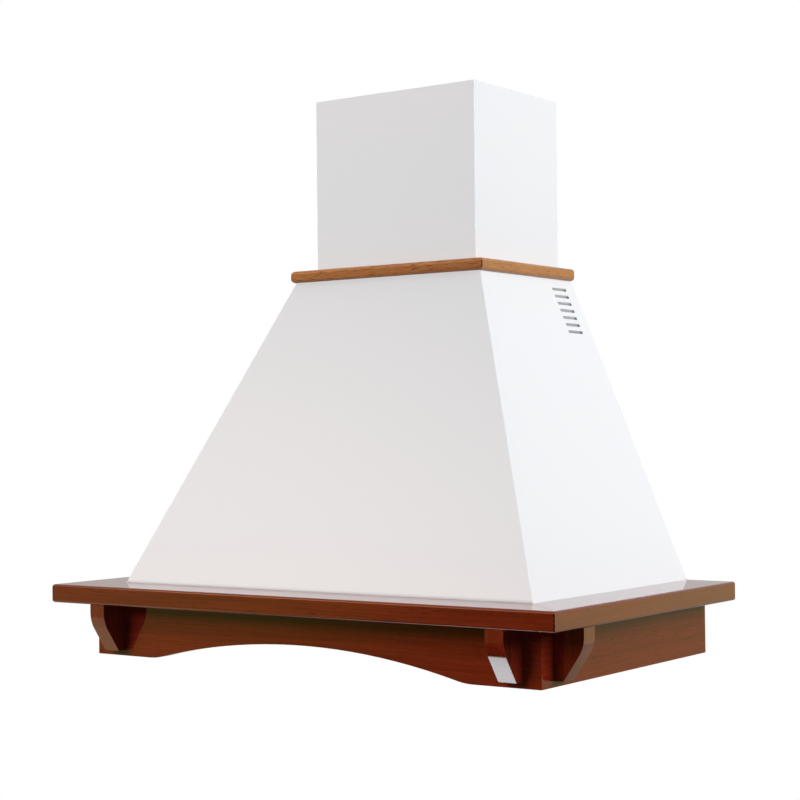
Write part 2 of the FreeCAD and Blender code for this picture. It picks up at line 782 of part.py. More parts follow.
def make_filter(side, sign):
    """Aluminium frame round a mesh core, with two pegs at the rear and a seat for its latch."""
    centre = f"({sign} * filter_spacing / 2)"
    high = f"({base_low} + filter_thickness)"
    x = [f"{centre} - filter_width / 2", f"{centre} + filter_width / 2"]
    y = [filter_front, filter_rear]
    block = box(f"filter_block_{side}", x, y, [base_low, high])
    well_x = [f"{x[0]} + filter_rim", f"{x[1]} - filter_rim"]
    well_y = [f"{y[0]} + filter_rim", f"{y[1]} - filter_rim"]
    low_well = box(f"low_well_{side}", well_x, well_y, [f"{base_low} - 1", f"{base_low} + filter_recess"])
    high_well = box(f"high_well_{side}", well_x, well_y, [f"{high} - filter_recess", f"{high} + 1"])
    frame = cut(f"filter_frame_{side}", block, low_well, high_well)
    pegs = []
    for end, way in (("outer", 1), ("inner", -1)):
        edge = f"({centre} + {way} * filter_width / 2)"
        tip = f"({edge} + {way} * peg_length)"
        span = [edge, tip] if way > 0 else [tip, edge]
        pegs.append(rod(f"peg_{side}_{end}", "x", "peg_radius", span, ["-filter_hinge_reach", peg_height]))
    plate_half = "(latch_width / 2 + latch_play)"
    slot_rear = f"({latch_tip} + latch_length + latch_travel + latch_play)"
    seat_half = "(latch_width / 2 + latch_play + latch_seat_wall)"
    seat_x = [f"{centre} - {seat_half}", f"{centre} + {seat_half}"]
    seat_y = [filter_front, f"{slot_rear} + latch_seat_wall"]
    channel_top = f"({latch_high} + rest_gap)"
    seat = box(f"latch_seat_{side}", seat_x, seat_y, [base_low, f"{channel_top} + latch_cover"])
    plate_x = [f"{centre} - {plate_half}", f"{centre} + {plate_half}"]
    plate_y = [f"{filter_front} - 1", slot_rear]
    plate_way = box(f"plate_way_{side}", plate_x, plate_y, ["apron_height", channel_top])
    grip_half = "(grip_width / 2 + latch_play)"
    grip_x = [f"{centre} - {grip_half}", f"{centre} + {grip_half}"]
    grip_y = [f"{grip_front} - latch_play", f"{grip_front} + grip_thickness + latch_travel + latch_play"]
    grip_way = box(f"grip_way_{side}", grip_x, grip_y, [f"{base_low} - 1", "apron_height + 1"])
    whole = fuse(f"filter_whole_{side}", frame, seat, *pegs)
    keep(cut(f"filter_{side}", whole, plate_way, grip_way), f"grease_filter_{side}")


def make_latch(side, sign):
    """Sliding plate whose front end lies on the underside panel, with a grip below the filter."""
    centre = f"({sign} * filter_spacing / 2)"
    plate_x = [f"{centre} - latch_width / 2", f"{centre} + latch_width / 2"]
    plate_y = [latch_tip, f"{latch_tip} + latch_length"]
    plate = box(f"latch_plate_{side}", plate_x, plate_y, [latch_low, latch_high])
    grip_x = [f"{centre} - grip_width / 2", f"{centre} + grip_width / 2"]
    grip_z = [f"{base_low} - grip_drop", latch_high]
    grip = box(f"grip_block_{side}", grip_x, [grip_front, f"{grip_front} + grip_thickness"], grip_z)
    foot = amount(grip_z[0])
    soft = rounded(f"grip_{side}", grip, "grip_round", lambda edge: in_plane(edge, "Z", foot))
    keep(fuse(f"latch_{side}", plate, soft), f"filter_latch_{side}")


def make_lamp(side, sign):
    """A ring through the underside panel, with a lens on its inner ledge and a body above it."""
    at = [f"{sign} * lamp_spacing / 2", "-strip_reach"]
    lip_low = f"({base_low} - lamp_ring_lip)"
    sleeve_top = "(apron_height + lamp_sleeve_height)"
    ledge = "apron_height"
    lip = rod(f"lamp_lip_{side}", "z", "lamp_ring_radius", [lip_low, base_low], at)
    foot = amount(lip_low)
    rim = lambda edge: in_plane(edge, "Z", foot)
    soft_lip = rounded(f"lamp_soft_lip_{side}", lip, "lamp_ring_lip / 2", rim)
    sleeve = rod(f"lamp_sleeve_{side}", "z", "lamp_sleeve_radius", [base_low, sleeve_top], at)
    bore = rod(f"lamp_bore_{side}", "z", "lamp_bore", [f"{lip_low} - 1", f"{sleeve_top} + 1"], at)
    seat_radius = "(lamp_lens_radius + lamp_fit)"
    seat = rod(f"lamp_seat_{side}", "z", seat_radius, [ledge, f"{sleeve_top} + 1"], at)
    ring = fuse(f"lamp_ring_block_{side}", soft_lip, sleeve)
    keep(cut(f"lamp_{side}", ring, bore, seat), f"lamp_ring_{side}")
    lens_top = f"({ledge} + lamp_lens_thickness)"
    keep(rod(f"lens_{side}", "z", "lamp_lens_radius", [ledge, lens_top], at), f"lamp_lens_{side}")
    body_top = f"({lens_top} + lamp_body_height)"
    keep(rod(f"lamp_can_{side}", "z", "lamp_lens_radius", [lens_top, body_top], at), f"lamp_body_{side}")


def button_places():
    count = int(amount("button_count"))
    return [f"({i} * button_spacing - {(count - 1) / 2} * button_spacing)" for i in range(count)]


fascia_low = f"({base_low} - fascia_thickness)"
collar_radius = "(button_radius + button_collar)"


def make_controls():
    """A plastic fascia under the panel, the sealed switch box above it and five push buttons."""
    half = "fascia_width / 2"
    y = ["-strip_reach - fascia_depth / 2", "fascia_depth / 2 - strip_reach"]
    plate = box("fascia_plate", [f"-{half}", half], y, [fascia_low, base_low])
    soft = rounded("fascia_soft_plate", plate, "fascia_round", lambda edge: not level(edge))
    bores = []
    wells = []
    above = f"({base_low} + button_collar_height + button_travel + button_play + rest_gap)"
    collar_z = [f"{base_low} - 1", above]
    stem_z = [f"{base_low} - 1", f"{above} + button_stem_height"]
    for i, x in enumerate(button_places(), start=1):
        at = [x, "-strip_reach"]
        span = [f"{fascia_low} - 1", f"{base_low} + 1"]
        bores.append(rod(f"button_bore_{i}", "z", "button_radius + button_play", span, at))
        wells.append(rod(f"collar_well_{i}", "z", f"{collar_radius} + button_play", collar_z, at))
        wells.append(rod(f"stem_well_{i}", "z", "button_stem + button_play", stem_z, at))
    keep(cut("fascia", soft, *bores), "control_fascia")
    box_x = ["-switch_box_width / 2", "switch_box_width / 2"]
    box_y = ["-strip_reach - switch_box_depth / 2", "switch_box_depth / 2 - strip_reach"]
    case = box("switch_case", box_x, box_y, [base_low, f"{base_low} + switch_box_height"])
    keep(cut("switch_case_bored", case, *wells), "switch_box")


def make_button(label, x):
    """A cap that shows below the fascia, a collar that keeps it in and a stem that works the switch."""
    at = [x, "-strip_reach"]
    seat = f"({base_low} + rest_gap)"
    collar_top = f"({seat} + button_collar_height)"
    show = f"({fascia_low} - button_show)"
    cap = rod(f"{label}_cap", "z", "button_radius", [show, seat], at)
    edge_z = amount(show)
    soft = rounded(f"{label}_soft_cap", cap, "button_show / 4", lambda edge: in_plane(edge, "Z", edge_z))
    collar = rod(f"{label}_collar", "z", collar_radius, [seat, collar_top], at)
    stem = rod(f"{label}_stem", "z", "button_stem", [collar_top, f"{collar_top} + button_stem_height"], at)
    keep(fuse(f"{label}_whole", soft, collar, stem), label)


def make_buttons():
    labels = ("button_off", "button_speed_low", "button_speed_middle", "button_speed_high", "button_light")
    for label, x in zip(labels, button_places()):
        make_button(label, x)


# ---- blower ----

def inlet_screw_places():
    """Places round the blower's axis, one for each arm of the motor bracket, the first straight up."""
    count = int(amount("bracket_arm_count"))
    angles = [90 + i * 360 / count for i in range(count)]
    circle = "inlet_screw_circle"
    return [(f"{axis_y} + {circle} * cos({turn})", f"{axis_z} + {circle} * sin({turn})") for turn in angles]


def scroll_outline(wall):
    """Three quarter arcs that open towards the outlet, with the outlet's two upright walls."""
    near = "scroll_step / 2"
    y_front, y_rear = f"({axis_y} - {near})", f"({axis_y} + {near})"
    z_low, z_high = f"({axis_z} - {near})", f"({axis_z} + {near})"
    first, second, third = [f"(scroll_start + {i} * scroll_step + {wall})" for i in range(3)]
    rear_wall = f"({y_rear} + {third})"
    front_wall_y = f"({y_rear} + scroll_start + 2 * scroll_step - outlet_depth - {wall})"
    roof = f"({z_low} + scroll_start)"
    tongue_y = f"({front_wall_y} + {wall} - tongue_radius)"
    tongue_z = f"({roof} + tongue_radius)"
    tongue = f"(tongue_radius - {wall})"
    return [
        (y_front, f"{z_low} + {first}"),
        (f"{y_front} - {first}", z_low, first, y_front, z_low, "left"),
        (y_rear, f"{z_low} - {second}", second, y_rear, z_low, "left"),
        (rear_wall, z_high, third, y_rear, z_high, "left"),
        (rear_wall, "outlet_top"),
        (front_wall_y, "outlet_top"),
        (front_wall_y, tongue_z),
        (tongue_y, f"{roof} + {wall}", tongue, tongue_y, tongue_z, "right"),
    ]


def web_holes():
    """Places of the hanger screws in the housing's end walls."""
    heights = ("hanger_low + hanger_hole_inset", "hanger_high - hanger_hole_inset")
    return [("-hanger_web_hole", height) for height in heights]


def make_housing(side, sign):
    """Half of the scroll housing, from the middle to an end wall with the air inlet."""
    back = sign < 0
    body = doc.addObject("PartDesign::Body", f"housing_{side}")
    outside = new_sketch(body, f"scroll_outside_{side}")
    draw_outline(outside, scroll_outline("housing_wall"))
    pad(body, f"scroll_pad_{side}", outside, "housing_half_width", back=back)
    inside = new_sketch(body, f"scroll_inside_{side}")
    draw_outline(inside, scroll_outline("0"))
    pocket(body, f"scroll_pocket_{side}", inside, "housing_half_width - housing_wall", back=not back)
    inlet = new_sketch(body, f"inlet_{side}")
    draw_circle(inlet, "inlet_radius + inlet_throat + inlet_fit", axis_y, axis_z)
    pocket(body, f"inlet_pocket_{side}", inlet, "housing_half_width + 1", back=not back)
    ends = [f"{sign} * (housing_half_width - 2 * housing_wall)", f"{sign} * (housing_half_width + 1)"]
    span = ends if sign > 0 else ends[::-1]
    places = web_holes() + inlet_screw_places()
    holes = []
    for i, place in enumerate(places, start=1):
        holes.append(rod(f"end_hole_{side}_{i}", "x", "screw_radius + screw_play", span, place))
    keep(cut(f"housing_half_{side}", body, *holes), f"blower_housing_{side}")


def make_inlet_ring(side, sign):
    """A pressed ring: a flange on the end wall and a throat that reaches to the impeller."""
    face = "housing_half_width"
    top = "(housing_half_width + inlet_sheet)"
    flange_ends = [f"{sign} * {face}", f"{sign} * {top}"]
    throat_ends = [f"{sign} * ({top} - inlet_throat_length)", f"{sign} * {top}"]
    bore_ends = [f"{sign} * ({face} - inlet_throat_length)", f"{sign} * ({top} + 1)"]
    ordered = [ends if sign > 0 else ends[::-1] for ends in (flange_ends, throat_ends, bore_ends)]
    at = [axis_y, axis_z]
    flange = rod(f"inlet_flange_{side}", "x", "inlet_flange", ordered[0], at)
    throat = rod(f"inlet_throat_{side}", "x", "inlet_radius + inlet_throat", ordered[1], at)
    tools = [rod(f"inlet_bore_{side}", "x", "inlet_radius", ordered[2], at)]
    for i, place in enumerate(inlet_screw_places(), start=1):
        tools.append(rod(f"ring_hole_{side}_{i}", "x", "screw_radius + screw_play", ordered[2], place))
    keep(cut(f"ring_{side}", fuse(f"ring_block_{side}", flange, throat), *tools), f"inlet_ring_{side}")


def make_impeller():
    """A double-inlet drum: a hub and disc carry the blades, and a rim joins them at each end."""
    body = doc.addObject("PartDesign::Body", "impeller_body")
    inner = "(impeller_radius - impeller_rim)"
    disc = new_sketch(body, "disc_outline", "impeller_disc_place")
    draw_circle(disc, "impeller_radius")
    pad(body, "disc_pad", disc, "impeller_disc")
    hub_start = "(impeller_disc_place + impeller_disc / 2 - hub_length / 2)"
    hub = new_sketch(body, "hub_outline", hub_start)
    draw_circle(hub, "hub_radius")
    pad(body, "hub_pad", hub, "hub_length")
    blade = new_sketch(body, "blade_outline", "-impeller_half_length")
    tip = "(impeller_radius - blade_thickness / 2)"
    tip_x, tip_y = f"{tip} * cos(blade_sweep)", f"{tip} * sin(blade_sweep)"
    half = "blade_thickness / 2"
    root = f"({inner} + blade_inset)"
    corners = [
        (root, f"-{half}"),
        (tip_x, f"{tip_y} - {half}"),
        (tip_x, f"{tip_y} + {half}"),
        (root, half),
    ]
    draw_outline(blade, corners)
    blade_pad = pad(body, "blade_pad", blade, "2 * impeller_half_length")
    doc.recompute()
    repeat_round(body, "blades", blade_pad, "blade_count")
    doc.recompute()
    rims = {"left": "-impeller_half_length - impeller_rim_width", "right": "impeller_half_length"}
    for end, start in rims.items():
        rim = new_sketch(body, f"rim_{end}", start)
        draw_circle(rim, "impeller_radius")
        draw_circle(rim, inner)
        body.Tip = pad(body, f"rim_pad_{end}", rim, "impeller_rim_width")
    move(body, "0", axis_y, axis_z)
    reach = [f"{hub_start} - 1", f"{hub_start} + hub_length + 1"]
    bore = rod("hub_bore", "x", "shaft_radius", reach, [axis_y, axis_z])
    keep(cut("bored_impeller", body, bore), "impeller")


def make_motor():
    """The motor sits in the impeller's left end; its shaft carries the hub."""
    at = [axis_y, axis_z]
    left = "(-housing_half_width - inlet_sheet)"
    case = rod("motor_case", "x", "motor_radius", [left, "-motor_right_end"], at)
    shaft_end = "(impeller_disc_place + impeller_disc / 2 + hub_length / 2)"
    shaft_start = f"({shaft_end} - shaft_length)"
    bore = rod("motor_bore", "x", "shaft_radius + motor_fit", [f"{shaft_start} - rest_gap", "0"], at)
    right = amount("-motor_right_end")
    soft = rounded("motor_soft_case", case, "motor_corner", lambda edge: in_plane(edge, "X", right))
    keep(cut("bored_motor", soft, bore), "motor")
    keep(rod("shaft_rod", "x", "shaft_radius", [shaft_start, shaft_end], at), "motor_shaft")


def make_motor_bracket():
    """Three arms from the motor's end plate to the left inlet ring."""
    body = doc.addObject("PartDesign::Body", "spider_body")
    start = "-housing_half_width - inlet_sheet - bracket_plate"
    disc = new_sketch(body, "spider_disc", start)
    draw_circle(disc, "motor_radius")
    pad(body, "spider_disc_pad", disc, "bracket_plate")
    arm = new_sketch(body, "spider_arm", start)
    half = "bracket_arm_width / 2"
    arm_root = "(motor_radius / 2)"
    corners = [
        (f"-{half}", arm_root),
        (half, arm_root),
        (half, "inlet_flange"),
        (f"-{half}", "inlet_flange"),
    ]
    draw_outline(arm, corners)
    arm_pad = pad(body, "spider_arm_pad", arm, "bracket_plate")
    doc.recompute()
    repeat_round(body, "arms", arm_pad, "bracket_arm_count")
    move(body, "0", axis_y, axis_z)
    span = ["-housing_half_width - inlet_sheet - bracket_plate - 1", "-housing_half_width"]
    holes = []
    for i, place in enumerate(inlet_screw_places(), start=1):
        holes.append(rod(f"arm_hole_{i}", "x", "screw_radius + screw_play", span, place))
    keep(cut("spider", body, *holes), "motor_bracket")


def make_hanger(side, sign):
    """An angle whose foot is on the rear panel and whose web carries the housing's end wall."""
    z = ["hanger_low", "hanger_high"]
    face = "housing_half_width"
    web_ends = [f"{sign} * {face}", f"{sign} * ({face} + hanger_sheet)"]
    foot_ends = [f"{sign} * {face}", f"{sign} * ({face} + hanger_sheet + hanger_foot)"]
    hole_ends = [f"{sign} * ({face} - 1)", f"{sign} * ({face} + hanger_sheet + 1)"]
    web_x, foot_x, hole_x = [ends if sign > 0 else ends[::-1] for ends in (web_ends, foot_ends, hole_ends)]
    web = box(f"hanger_web_{side}", web_x, ["-hanger_reach", f"-{panel_front}"], z)
    foot = box(f"hanger_foot_{side}", foot_x, [f"-{panel_front} - hanger_sheet", f"-{panel_front}"], z)
    holes = []
    for i, place in enumerate(web_holes()):
        holes.append(rod(f"web_hole_{side}_{i + 1}", "x", "screw_radius + screw_play", hole_x, place))
    span = [f"-{panel_front} - hanger_sheet - 1", "0"]
    own = hanger_foot_holes()[:2] if sign < 0 else hanger_foot_holes()[2:]
    for i, place in enumerate(own):
        holes.append(rod(f"foot_hole_{side}_{i + 1}", "y", "screw_radius + screw_play", span, place))
    keep(cut(f"hanger_{side}", fuse(f"angle_{side}", web, foot), *holes), f"blower_hanger_{side}")


pin_height = "(outlet_top + damper_lift)"
collar_low = "(outlet_top + collar_plate)"
collar_high = "(outlet_top + collar_plate + collar_height)"
duct_at = ["0", "-duct_centre"]


def make_collar():
    """A plate on the blower's outlet, the pipe that a round duct slides over and the flaps' ledge."""
    inner = "(collar_radius - collar_wall)"
    edge = "(collar_radius + collar_plate_edge)"
    plate_x = ["-housing_half_width", "housing_half_width"]
    plate_y = [f"-duct_centre - {edge}", f"{edge} - duct_centre"]
    plate = box("collar_plate_block", plate_x, plate_y, ["outlet_top", collar_low])
    pipe = rod("collar_pipe", "z", "collar_radius", ["outlet_top", collar_high], duct_at)
    through = ["outlet_top - 1", f"{collar_low} + 1"]
    bore_round = rod("collar_round_bore", "z", inner, through, duct_at)
    rear = f"({axis_y} + scroll_step / 2 + scroll_start + 2 * scroll_step)"
    duct_x = ["housing_wall - housing_half_width", "housing_half_width - housing_wall"]
    bore_square = box("outlet_square", duct_x, [f"{rear} - outlet_depth", rear], through)
    mouth = common("collar_mouth", bore_round, bore_square)
    upper = rod("collar_upper_bore", "z", inner, [collar_low, f"{collar_high} + 1"], duct_at)
    ledge_top = f"({pin_height} - flap_sheet / 2 - rest_gap)"
    ledge_low = f"({ledge_top} - collar_ledge_height)"
    ledge_block = rod("ledge_block", "z", f"{inner} + collar_wall / 2", [ledge_low, ledge_top], duct_at)
    ledge_span = [f"{ledge_low} - 1", f"{ledge_top} + 1"]
    ledge_bore = rod("ledge_bore", "z", f"{inner} - collar_ledge", ledge_span, duct_at)
    shell = cut("collar_shell", fuse("collar_block", plate, pipe), mouth, upper)
    whole = fuse("collar_with_ledge", shell, cut("ledge", ledge_block, ledge_bore))
    pin_at = ["-duct_centre", pin_height]
    pin_x = ["damper_pin_inset - collar_radius", "collar_radius - damper_pin_inset"]
    keep(cut("collar", whole, rod("pin_hole", "x", "damper_pin", pin_x, pin_at)), "outlet_collar")
    keep(rod("pin", "x", "damper_pin", pin_x, pin_at), "damper_pin")


def make_flap(end, way):
    """A half disc that hangs on the pin by two knuckles and rests on the collar's ledge."""
    pin_at = ["-duct_centre", pin_height]
    z = [f"{pin_height} - flap_sheet / 2", f"{pin_height} + flap_sheet / 2"]
    radius = "(collar_radius - collar_wall - flap_gap)"
    disc = rod(f"flap_disc_{end}", "z", radius, z, duct_at)
    near = "(knuckle_radius + flap_pin_gap)"
    bounds = [f"{way} * {near} - duct_centre", f"{way} * {radius} - duct_centre"]
    y = bounds if way > 0 else bounds[::-1]
    half = common(f"flap_half_{end}", disc, box(f"flap_side_{end}", [f"-{radius}", radius], y, z))
    pieces = [half]
    for i, side in enumerate(("left", "right"), start=1):
        start = f"{end}_knuckle_{side}"
        inset = [f"{start} + damper_play", f"{start} + knuckle_length - damper_play"]
        pieces.append(rod(f"knuckle_{end}_{i}", "x", "knuckle_radius", inset, pin_at))
        web_bounds = ["-duct_centre", f"{way} * ({near} + 1) - duct_centre"]
        web_y = web_bounds if way > 0 else web_bounds[::-1]
        pieces.append(box(f"knuckle_web_{end}_{i}", inset, web_y, z))
    bore = rod(f"flap_bore_{end}", "x", "damper_pin + damper_play", [f"-{radius}", radius], pin_at)
    keep(cut(f"flap_{end}", fuse(f"flap_whole_{end}", *pieces), bore), f"damper_flap_{end}")


def make_electrics():
    """Terminal box with a cable gland on top, and the motor's run capacitor."""
    x = ["terminal_place", "terminal_place + terminal_width"]
    y = [f"-{panel_front} - terminal_depth", f"-{panel_front}"]
    z = ["terminal_low", "terminal_low + terminal_height"]
    keep(box("terminal_case", x, y, z), "terminal_box")
    at = ["terminal_place + terminal_width / 2", f"-{panel_front} - terminal_depth / 2"]
    nut = doc.addObject("Part::Prism", "gland_nut")
    nut.Polygon = 6
    bind(nut, "Circumradius", "gland_radius")
    bind(nut, "Height", "gland_nut_height")
    move(nut, at[0], at[1], z[1])
    neck_z = [f"{z[1]} + gland_nut_height", f"{z[1]} + gland_height"]
    gland_neck = rod("gland_neck_block", "z", "gland_neck", neck_z, at)
    bore = rod("gland_bore_rod", "z", "gland_bore", [f"{z[1]} - 1", f"{z[1]} + gland_height + 1"], at)
    keep(cut("gland", fuse("gland_block", nut, gland_neck), bore), "cable_gland")
    can_at = ["-capacitor_place", f"-{panel_front} - capacitor_radius"]
    can_z = ["capacitor_low", "capacitor_low + capacitor_height"]
    keep(rod("capacitor_can", "z", "capacitor_radius", can_z, can_at), "capacitor")


# ---- screws ----

def screw(name, axis, seat, way, bite, centre):
    """A pan-head screw. Its head sits at the seat and its shank runs from there, along way."""
    head_ends = [f"({seat}) - {way} * screw_head_height", seat]
    shank_ends = [seat, f"({seat}) + {way} * ({bite})"]
    head_span, shank_span = [ends if way > 0 else ends[::-1] for ends in (head_ends, shank_ends)]
    head = rod(f"{name}_head", axis, "screw_head_radius", head_span, centre)
    shank = rod(f"{name}_shank", axis, "screw_radius", shank_span, centre)
    return fuse(name, head, shank)


def make_screws():
    base = []
    for i, place in enumerate(base_screw_places(), start=1):
        base.append(screw(f"base_screw_{i}", "z", base_low, 1, "wood_screw_bite", place))
    keep(group("base_screw_group", base), "base_screws")
    hanger = []
    inlet = []
    for side, sign in sides:
        web_seat = f"{sign} * (housing_half_width + hanger_sheet)"
        for i, place in enumerate(web_holes(), start=1):
            hanger.append(screw(f"web_screw_{side}_{i}", "x", web_seat, -sign, "sheet_screw_bite", place))
        plate = "inlet_sheet + bracket_plate" if sign < 0 else "inlet_sheet"
        ring_seat = f"{sign} * (housing_half_width + {plate})"
        for i, place in enumerate(inlet_screw_places(), start=1):
            inlet.append(screw(f"ring_screw_{side}_{i}", "x", ring_seat, -sign, "sheet_screw_bite", place))
    foot_seat = f"-{panel_front} - hanger_sheet"
    bite = f"{panel_front} + hanger_sheet - rest_gap"
    for i, place in enumerate(hanger_foot_holes(), start=1):
        hanger.append(screw(f"foot_screw_{i}", "y", foot_seat, 1, bite, place))
    keep(group("hanger_screw_group", hanger), "hanger_screws")
    keep(group("inlet_screw_group", inlet), "inlet_screws")


def write_steps():
    """Tests every object and writes one file for each sub-part."""
    doc.recompute()
    bad = [item.Label for item in doc.Objects if {"Invalid", "Error"} & set(item.State)]
    for item in subparts:
        if item.Shape.isNull() or not item.Shape.isValid() or not item.Shape.Solids:
            bad.append(item.Label)
    if bad:
        raise RuntimeError(f"these objects failed: {sorted(set(bad))}")
    os.makedirs("parts", exist_ok=True)
    for item in subparts:
        item.Shape.exportStep(f"parts/{item.Label}.step")
        print(item.Label, len(item.Shape.Solids), round(item.Shape.Volume))


make_shelf()
make_apron()
make_corbels()
make_corner_blocks()
make_canopy()
make_rear_panel()
make_moulding()
make_chimney()
make_chimney_bracket()
make_base_panel()
make_filter_hooks()
for filter_side, filter_sign in sides:
    make_filter(filter_side, filter_sign)
    make_latch(filter_side, filter_sign)
    make_lamp(filter_side, filter_sign)
make_controls()
make_buttons()
for blower_side, blower_sign in sides:
    make_housing(blower_side, blower_sign)
    make_inlet_ring(blower_side, blower_sign)
    make_hanger(blower_side, blower_sign)
make_impeller()
make_motor()
make_motor_bracket()
make_collar()
make_flap("front", -1)
make_flap("rear", 1)
make_electrics()
make_screws()
write_steps()
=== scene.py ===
import math

import bmesh
import bpy
from mathutils import Matrix, Vector


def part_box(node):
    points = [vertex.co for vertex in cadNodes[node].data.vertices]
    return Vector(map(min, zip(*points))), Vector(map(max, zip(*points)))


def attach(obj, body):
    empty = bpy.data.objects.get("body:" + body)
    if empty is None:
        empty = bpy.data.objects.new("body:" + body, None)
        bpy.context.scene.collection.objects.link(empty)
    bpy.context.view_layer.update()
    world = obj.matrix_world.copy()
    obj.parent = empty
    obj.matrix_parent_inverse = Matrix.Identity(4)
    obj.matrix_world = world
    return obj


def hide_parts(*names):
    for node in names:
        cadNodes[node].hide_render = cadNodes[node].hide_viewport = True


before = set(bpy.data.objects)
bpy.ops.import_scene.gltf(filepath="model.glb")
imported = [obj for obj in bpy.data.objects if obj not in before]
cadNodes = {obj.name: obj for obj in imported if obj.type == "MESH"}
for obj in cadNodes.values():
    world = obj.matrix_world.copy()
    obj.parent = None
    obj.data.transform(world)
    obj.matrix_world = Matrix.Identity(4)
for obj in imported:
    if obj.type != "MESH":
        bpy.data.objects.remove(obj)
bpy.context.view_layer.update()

# A wall-mounted range hood: painted steel canopy and chimney on a dark lacquered wooden mantel.
# The frame's origin is on the wall, level with the apron's lower edge. -Y points into the kitchen.

mm = 0.001
print("frame loaded:", len(cadNodes), "nodes")


# ways of working that every piece and material uses

def linearColour(hexText):
    channels = [int(hexText[i:i + 2], 16) / 255 for i in (1, 3, 5)]
    return [c / 12.92 if c <= 0.04045 else ((c + 0.055) / 1.055) ** 2.4 for c in channels] + [1.0]


def addNode(tree, kind, inputs=None, stops=None, **settings):
    node = tree.nodes.new(kind)
    for name, value in settings.items():
        setattr(node, name, value)
    for name, value in (inputs or {}).items():
        if isinstance(value, bpy.types.NodeSocket):
            tree.links.new(value, node.inputs[name])
        else:
            node.inputs[name].default_value = value
    for i, (place, colour) in enumerate(stops or []):
        element = node.color_ramp.elements[i] if i < 2 else node.color_ramp.elements.new(place)
        element.position, element.color = place, linearColour(colour)
    return node


def newMaterial(name, sockets):
    material = bpy.data.materials.new(name)
    material.use_nodes = True
    tree = material.node_tree
    tree.nodes.clear()
    shader = addNode(tree, "ShaderNodeBsdfPrincipled", sockets)
    addNode(tree, "ShaderNodeOutputMaterial", {"Surface": shader.outputs["BSDF"]})
    return material, tree, shader


def dress(material, *names):
    for name in names:
        slots = cadNodes[name].data.materials
        slots.clear()
        slots.append(material)


cameraView = {
    "place": (1.6325, -2.5214, 0.3335),
    "turn": 35.452,        # degrees round the object, from straight ahead
    "rise": -1.108,        # a little below level, so it looks slightly up
    "roll": -0.617,
    "lens": 82.13,
    "sensor": 36,
}


def makeCamera():
    data = bpy.data.cameras.new("photoCamera")
    data.sensor_width = cameraView["sensor"]
    data.lens = cameraView["lens"]
    camera = bpy.data.objects.new("photoCamera", data)
    bpy.context.scene.collection.objects.link(camera)
    turn = Matrix.Rotation(math.radians(cameraView["turn"]), 4, "Z")
    rise = Matrix.Rotation(math.radians(90 - cameraView["rise"]), 4, "X")
    roll = Matrix.Rotation(math.radians(cameraView["roll"]), 4, "Z")
    camera.matrix_world = Matrix.Translation(cameraView["place"]) @ turn @ rise @ roll
    bpy.context.scene.camera = camera


# Lengths in metres.
studio = {
    "fill": 0.12,                # soft light from all round
    "floorDrop": 0.85,           # below the apron
    "floorRadius": 2.6,
    "floorWhite": (0.55, 0.97),  # shares of the radius between which the floor goes over to white
    "floorGrey": "#6f6e6d",      # what the floor gives back to the object
    "floorPale": "#f4f3f2",      # what the camera sees
    "sheenRing": (0.7, 1.5),     # gloss sees the floor dim within the first and bright past the second
    "sheen": (0.25, 0.8),
    "sheenTint": "#cabfb2",
    "sheenTintShare": 0.6,
}

# What gloss sees round the studio, by compass bearing: 0 is behind the object, 90 its right side.
surroundings = [
    (-180, "#1c1512"), (-151, "#1c1409"), (-145, "#6a6c30"), (-140, "#99a34e"), (-133, "#a3ad6c"),
    (-125, "#bfae78"), (-116, "#cfc4b4"), (-60, "#bdbab8"), (-46, "#c2bfbd"), (-27, "#cccac8"),
    (0, "#e6e6e4"), (20, "#ececdf"), (24, "#efefb2"), (33, "#efefb2"), (38, "#eeeee0"), (80, "#fbfbf4"),
    (120, "#8c8a88"), (180, "#1c1512"),
]

# Painted steel has a level box of its own. The mantel's box stands high, so the shelf shades the apron.
# The edge card is seen only in gloss, as a warm line along the boards' eased edges.
softBoxes = {
    "mantelBox": {"place": (-3.6, -7.5, 4.3), "aim": (0, -0.3, 0.35), "size": (4.6, 4.6),
                  "watts": 790, "colour": "#fffaf6", "lights": "mantel"},
    "steelBox": {"place": (-0.8, -5.2, 0.12), "aim": (0, -0.3, 0.4), "size": (0.5, 0.5),
                 "watts": 192, "colour": "#f8fbff", "lights": "steel"},
    "rightBox": {"place": (3.6, 0.3, 1.9), "aim": (0.2, -0.2, 0.35), "size": (2.2, 2.2),
                 "watts": 170, "colour": "#f2f7fd", "lights": "all"},
    "leftBox": {"place": (-3.6, 0.3, 1.9), "aim": (-0.2, -0.2, 0.35), "size": (2.2, 2.2),
                "watts": 120, "colour": "#fbfbff", "lights": "all"},
    "wallBox": {"place": (-0.6, 4.4, 1.4), "aim": (0, 0, 0.35), "size": (2.2, 2.2),
                "watts": 130, "colour": "#fffdfa", "lights": "all"},
    "edgeCard": {"place": (-3.3, -4.2, 2.9), "aim": (0, -0.5, 0.1), "size": (2.6, 1.4),
                 "watts": 40, "colour": "#ffcf9a", "lights": "gloss"},
}

# Cards that only gloss finds lie low in front of the mantel, and light up the corbels' slants. Each goes
# from dim to bright between the two places of its fade, along Y, and through its colours along X. Metres.
lowCards = {
    "leftCard": {"across": (-3.0, -0.8), "front": -2.1, "rear": -0.45, "fade": (-2.1, -1.7),
                 "dim": 0.4, "bright": 1.0, "colours": [(0.0, "#ffdca8"), (1.0, "#ffdca8")]},
    "rightCard": {"across": (-0.8, 0.12), "front": -2.4, "rear": -0.614, "fade": (-0.77, -0.632),
                  "dim": 0.0, "bright": 6.8,
                  "colours": [(0.0, "#6f6048"), (0.75, "#eff9fb"), (1.0, "#f4fbff")]},
}
cardRise = -0.60


